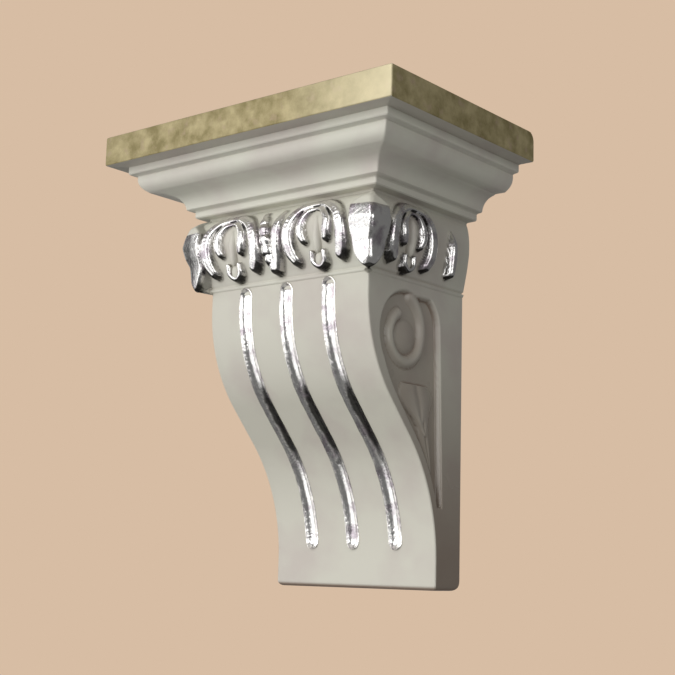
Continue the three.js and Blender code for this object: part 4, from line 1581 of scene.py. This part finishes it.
@dataclass
class FluteLeaf:
    """The silver leaf that lines the flutes, swept along one flute and repeated by Geometry Nodes."""

    scroll: Scroll
    flutes: int = 3
    film: float = 0.22
    bed: float = 0.12
    lap: float = 0.25
    ragged: float = 0.28
    frays_per_m: float = 260
    fray_detail: float = 3
    steps: int = 150
    section_steps: int = 14
    tip_steps: int = 8
    tip_reach: float = 0.97
    crease: float = 60

    def section(self) -> Item:
        """The closed outline of the film across a flute.

        Returns:
            A curve object outside the scene.
        """
        scroll = self.scroll
        reach = math.acos((scroll.flute_proud - self.lap) / scroll.flute_radius)
        turns = np.linspace(-reach, reach, self.section_steps)
        outer = scroll.flute_radius + self.bed
        inner = scroll.flute_radius - self.film
        points = [(outer * math.sin(t), -outer * math.cos(t), 0, 1) for t in turns]
        points += [(inner * math.sin(t), -inner * math.cos(t), 0, 1) for t in turns[::-1]]
        return bpy.data.objects.new("film section", poly_curve("film section", points, closed=True))

    def spine(self) -> Item:
        """The axis of one flute.

        Returns:
            A curve object of the scene, with the film's scale as the points' radius.
        """
        scroll = self.scroll
        drops = np.linspace(*scroll.flute_span, self.steps)
        fall = scroll.slope(drops)
        out = np.stack([-np.ones_like(fall), -fall], axis=-1) / np.hypot(1, fall)[:, None]
        axis = np.stack([-scroll.depth(drops), drops], axis=-1) + out * scroll.flute_proud
        turns = np.linspace(0, QUARTER, self.tip_steps + 1)[1:] * self.tip_reach
        start = (axis[0] - axis[1]) / np.linalg.norm(axis[0] - axis[1])
        end = (axis[-1] - axis[-2]) / np.linalg.norm(axis[-1] - axis[-2])
        before = axis[0] + start * scroll.flute_radius * np.sin(turns[::-1])[:, None]
        after = axis[-1] + end * scroll.flute_radius * np.sin(turns)[:, None]
        line = np.vstack([before, axis, after])
        scale = np.concatenate([np.cos(turns[::-1]), np.ones(self.steps), np.cos(turns)])
        points = [(0, y, SIZES.height / 2 - drop, size) for (y, drop), size in zip(line, scale)]
        return placed("flute_leaf", poly_curve("flute_leaf", points, closed=False))

    def tree(self) -> Tree:
        """The tree that sweeps the film, repeats it over the flutes, and frays it.

        Returns:
            The tree. Its geometry input is the axis of one flute.
        """
        wanted = {
            "Axis": "Geometry",
            "Section": "Object",
            "Flutes": "Int",
            "Spacing": "Float",
            "Ragged": "Float",
            "Seed": "Int",
            "Finish": "Material",
        }
        tree, given = new_tree("leaf in flutes", wanted)
        section = add(tree, "GeometryNodeObjectInfo", {"Object": given["Section"]})
        across = {"Curve": given["Axis"], "Normal": (1, 0, 0)}
        held = add(tree, "GeometryNodeSetCurveNormal", across, mode="FREE")
        radius = add(tree, "GeometryNodeInputRadius")
        sweep = {
            "Curve": held.outputs["Curve"],
            "Profile Curve": section.outputs["Geometry"],
            "Scale": radius.outputs["Radius"],
            "Fill Caps": True,
        }
        film = add(tree, "GeometryNodeCurveToMesh", sweep)
        gaps = add(tree, "ShaderNodeMath", {0: given["Flutes"], 1: -1.0}, operation="ADD")
        width = add(tree, "ShaderNodeMath", {0: gaps.outputs[0], 1: given["Spacing"]}, operation="MULTIPLY")
        left = add(tree, "ShaderNodeMath", {0: width.outputs[0], 1: -0.5}, operation="MULTIPLY")
        first = add(tree, "ShaderNodeCombineXYZ", {"X": left.outputs[0]}).outputs[0]
        step = add(tree, "ShaderNodeCombineXYZ", {"X": given["Spacing"]}).outputs[0]
        places = {"Count": given["Flutes"], "Start Location": first, "Offset": step}
        row = add(tree, "GeometryNodeMeshLine", places)
        sets = {"Points": row.outputs["Mesh"], "Instance": film.outputs["Mesh"]}
        copies = add(tree, "GeometryNodeInstanceOnPoints", sets).outputs["Instances"]
        real = add(tree, "GeometryNodeRealizeInstances", {"Geometry": copies}).outputs["Geometry"]
        frays = {"W": given["Seed"], "Scale": self.frays_per_m, "Detail": self.fray_detail}
        noise = add(tree, "ShaderNodeTexNoise", frays, noise_dimensions="4D")
        centred = add(tree, "ShaderNodeMath", {0: noise.outputs["Fac"], 1: -0.5}, operation="ADD")
        shift = add(tree, "ShaderNodeMath", {0: centred.outputs[0], 1: given["Ragged"]}, operation="MULTIPLY")
        aside = add(tree, "ShaderNodeCombineXYZ", {"X": shift.outputs[0]}).outputs[0]
        frayed = add(tree, "GeometryNodeSetPosition", {"Geometry": real, "Offset": aside})
        end_tree(tree, frayed.outputs["Geometry"], given["Finish"])
        return tree

    def build(self, finishes: Finishes) -> Item:
        """Makes the leaf in all the flutes as one piece.

        Args:
            finishes: The shared materials.

        Returns:
            The finished piece.
        """
        section = self.section()
        inputs = {
            "Section": section,
            "Flutes": self.flutes,
            "Spacing": self.scroll.flute_spacing * MM,
            "Ragged": 2 * self.ragged * MM,
            "Seed": SEED,
            "Finish": finishes.silver,
        }
        piece = grow(self.spine(), self.tree(), inputs)
        bpy.data.objects.remove(section)
        piece.data.shade_smooth()
        piece.data.set_sharp_from_angle(angle=math.radians(self.crease))
        hand_over(piece, Slot.SILVER)
        return piece


# The studio.


@dataclass(frozen=True)
class Lamp:
    """A soft rectangular lamp that faces the corbel."""

    name: str
    place_m: tuple[float, float, float]
    width_m: float
    height_m: float
    power_w: float


@dataclass
class Studio:
    """The camera, the soft lights, the pale floor and the plain surroundings."""

    lens_mm: float = 72.39
    sensor_mm: float = 36
    near_m: float = 0.01
    place_mm: tuple[float, float, float] = (392.1, -512.1, -93.2)
    yaw: float = math.radians(39.36)
    pitch: float = math.radians(9.56)
    roll: float = math.radians(1.46)
    backdrop: str = "#d7bda4"
    surround: float = 0.14
    floor_colour: str = "#d8d7d2"
    floor_roughness: float = 0.9
    floor_drop_m: float = 0.9
    floor_radius_m: float = 0.6
    floor_sides: int = 64
    lamps: Sequence[Lamp] = (
        Lamp("key softbox", (0.35, -3.0, 0.75), 1.9, 3.0, 63),
        Lamp("front softbox", (-1.85, -2.36, 0.42), 2.0, 2.6, 25),
        Lamp("low bounce", (-1.1, -2.4, -1.6), 2.9, 1.8, 21),
        Lamp("left strip", (-3.0, -0.3, 0.5), 0.7, 2.4, 14),
        Lamp("side fill", (1.3, -0.6, 0.15), 0.8, 0.8, 4.2),
    )

    def camera(self) -> None:
        """Sets the camera where the photograph was taken from."""
        flat, rise = math.cos(self.pitch), math.sin(self.pitch)
        forward = Vector((-math.sin(self.yaw) * flat, math.cos(self.yaw) * flat, rise))
        level = Vector((math.cos(self.yaw), math.sin(self.yaw), 0))
        up = level.cross(forward)
        right = level * math.cos(self.roll) + up * math.sin(self.roll)
        top = up * math.cos(self.roll) - level * math.sin(self.roll)
        data = bpy.data.cameras.new("camera")
        data.lens = self.lens_mm
        data.sensor_width = self.sensor_mm
        data.clip_start = self.near_m
        turn = Matrix((right, top, -forward)).transposed().to_4x4()
        camera = placed("camera", data)
        camera.matrix_world = Matrix.Translation(Vector(self.place_mm) * MM) @ turn
        bpy.context.scene.camera = camera

    def light(self) -> None:
        """Sets the softboxes and the soft grey surroundings."""
        for lamp in self.lamps:
            data = bpy.data.lights.new(lamp.name, "AREA")
            data.shape = "RECTANGLE"
            data.size = lamp.width_m
            data.size_y = lamp.height_m
            data.energy = lamp.power_w
            made = placed(lamp.name, data)
            made.location = lamp.place_m
            made.rotation_euler = (-Vector(lamp.place_m)).to_track_quat("-Z", "Y").to_euler()
        world = bpy.data.worlds.new("studio")
        world.use_nodes = True
        bpy.context.scene.world = world
        tree = world.node_tree
        tree.nodes.clear()
        path = add(tree, "ShaderNodeLightPath")
        grey = add(tree, "ShaderNodeBackground", {"Color": (1, 1, 1, 1), "Strength": self.surround})
        peach = add(tree, "ShaderNodeBackground", {"Color": linear(self.backdrop), "Strength": 1.0})
        sides = {0: path.outputs["Is Camera Ray"], 1: grey.outputs[0], 2: peach.outputs[0]}
        mixed = add(tree, "ShaderNodeMixShader", sides)
        add(tree, "ShaderNodeOutputWorld", {"Surface": mixed.outputs[0]})
        bpy.context.scene.view_settings.view_transform = "Standard"

    def floor(self) -> None:
        """Lays the pale floor well below the corbel, which hangs on a wall that isn't part of it."""
        radius = self.floor_radius_m
        turns = np.linspace(0, 2 * math.pi, self.floor_sides, endpoint=False)
        rim = [(radius * math.cos(t), radius * math.sin(t), -self.floor_drop_m) for t in turns]
        mesh = bpy.data.meshes.new("floor")
        mesh.from_pydata(rim, [], [list(range(len(rim)))])
        material = bpy.data.materials.new("matt pale floor")
        material.use_nodes = True
        shader = material.node_tree.nodes["Principled BSDF"]
        shader.inputs["Base Color"].default_value = linear(self.floor_colour)
        shader.inputs["Roughness"].default_value = self.floor_roughness
        mesh.materials.append(material)
        placed("floor", mesh)

    def build(self) -> None:
        """Sets up the whole studio."""
        self.camera()
        self.light()
        self.floor()


def main() -> None:
    """Builds the studio and every piece in order."""
    logging.basicConfig(level=logging.INFO, format="%(name)s: %(message)s")
    Studio().build()
    finishes = Finishes.make()
    band = LeafBand()
    scroll = Scroll()
    builders: Sequence[Callable[[Finishes], Item]] = (
        Slab().build,
        Crown().build,
        band.build,
        Stones(band).build,
        scroll.build,
        FluteLeaf(scroll).build,
    )
    for build in builders:
        build(finishes)


if __name__ == "__main__":
    main()
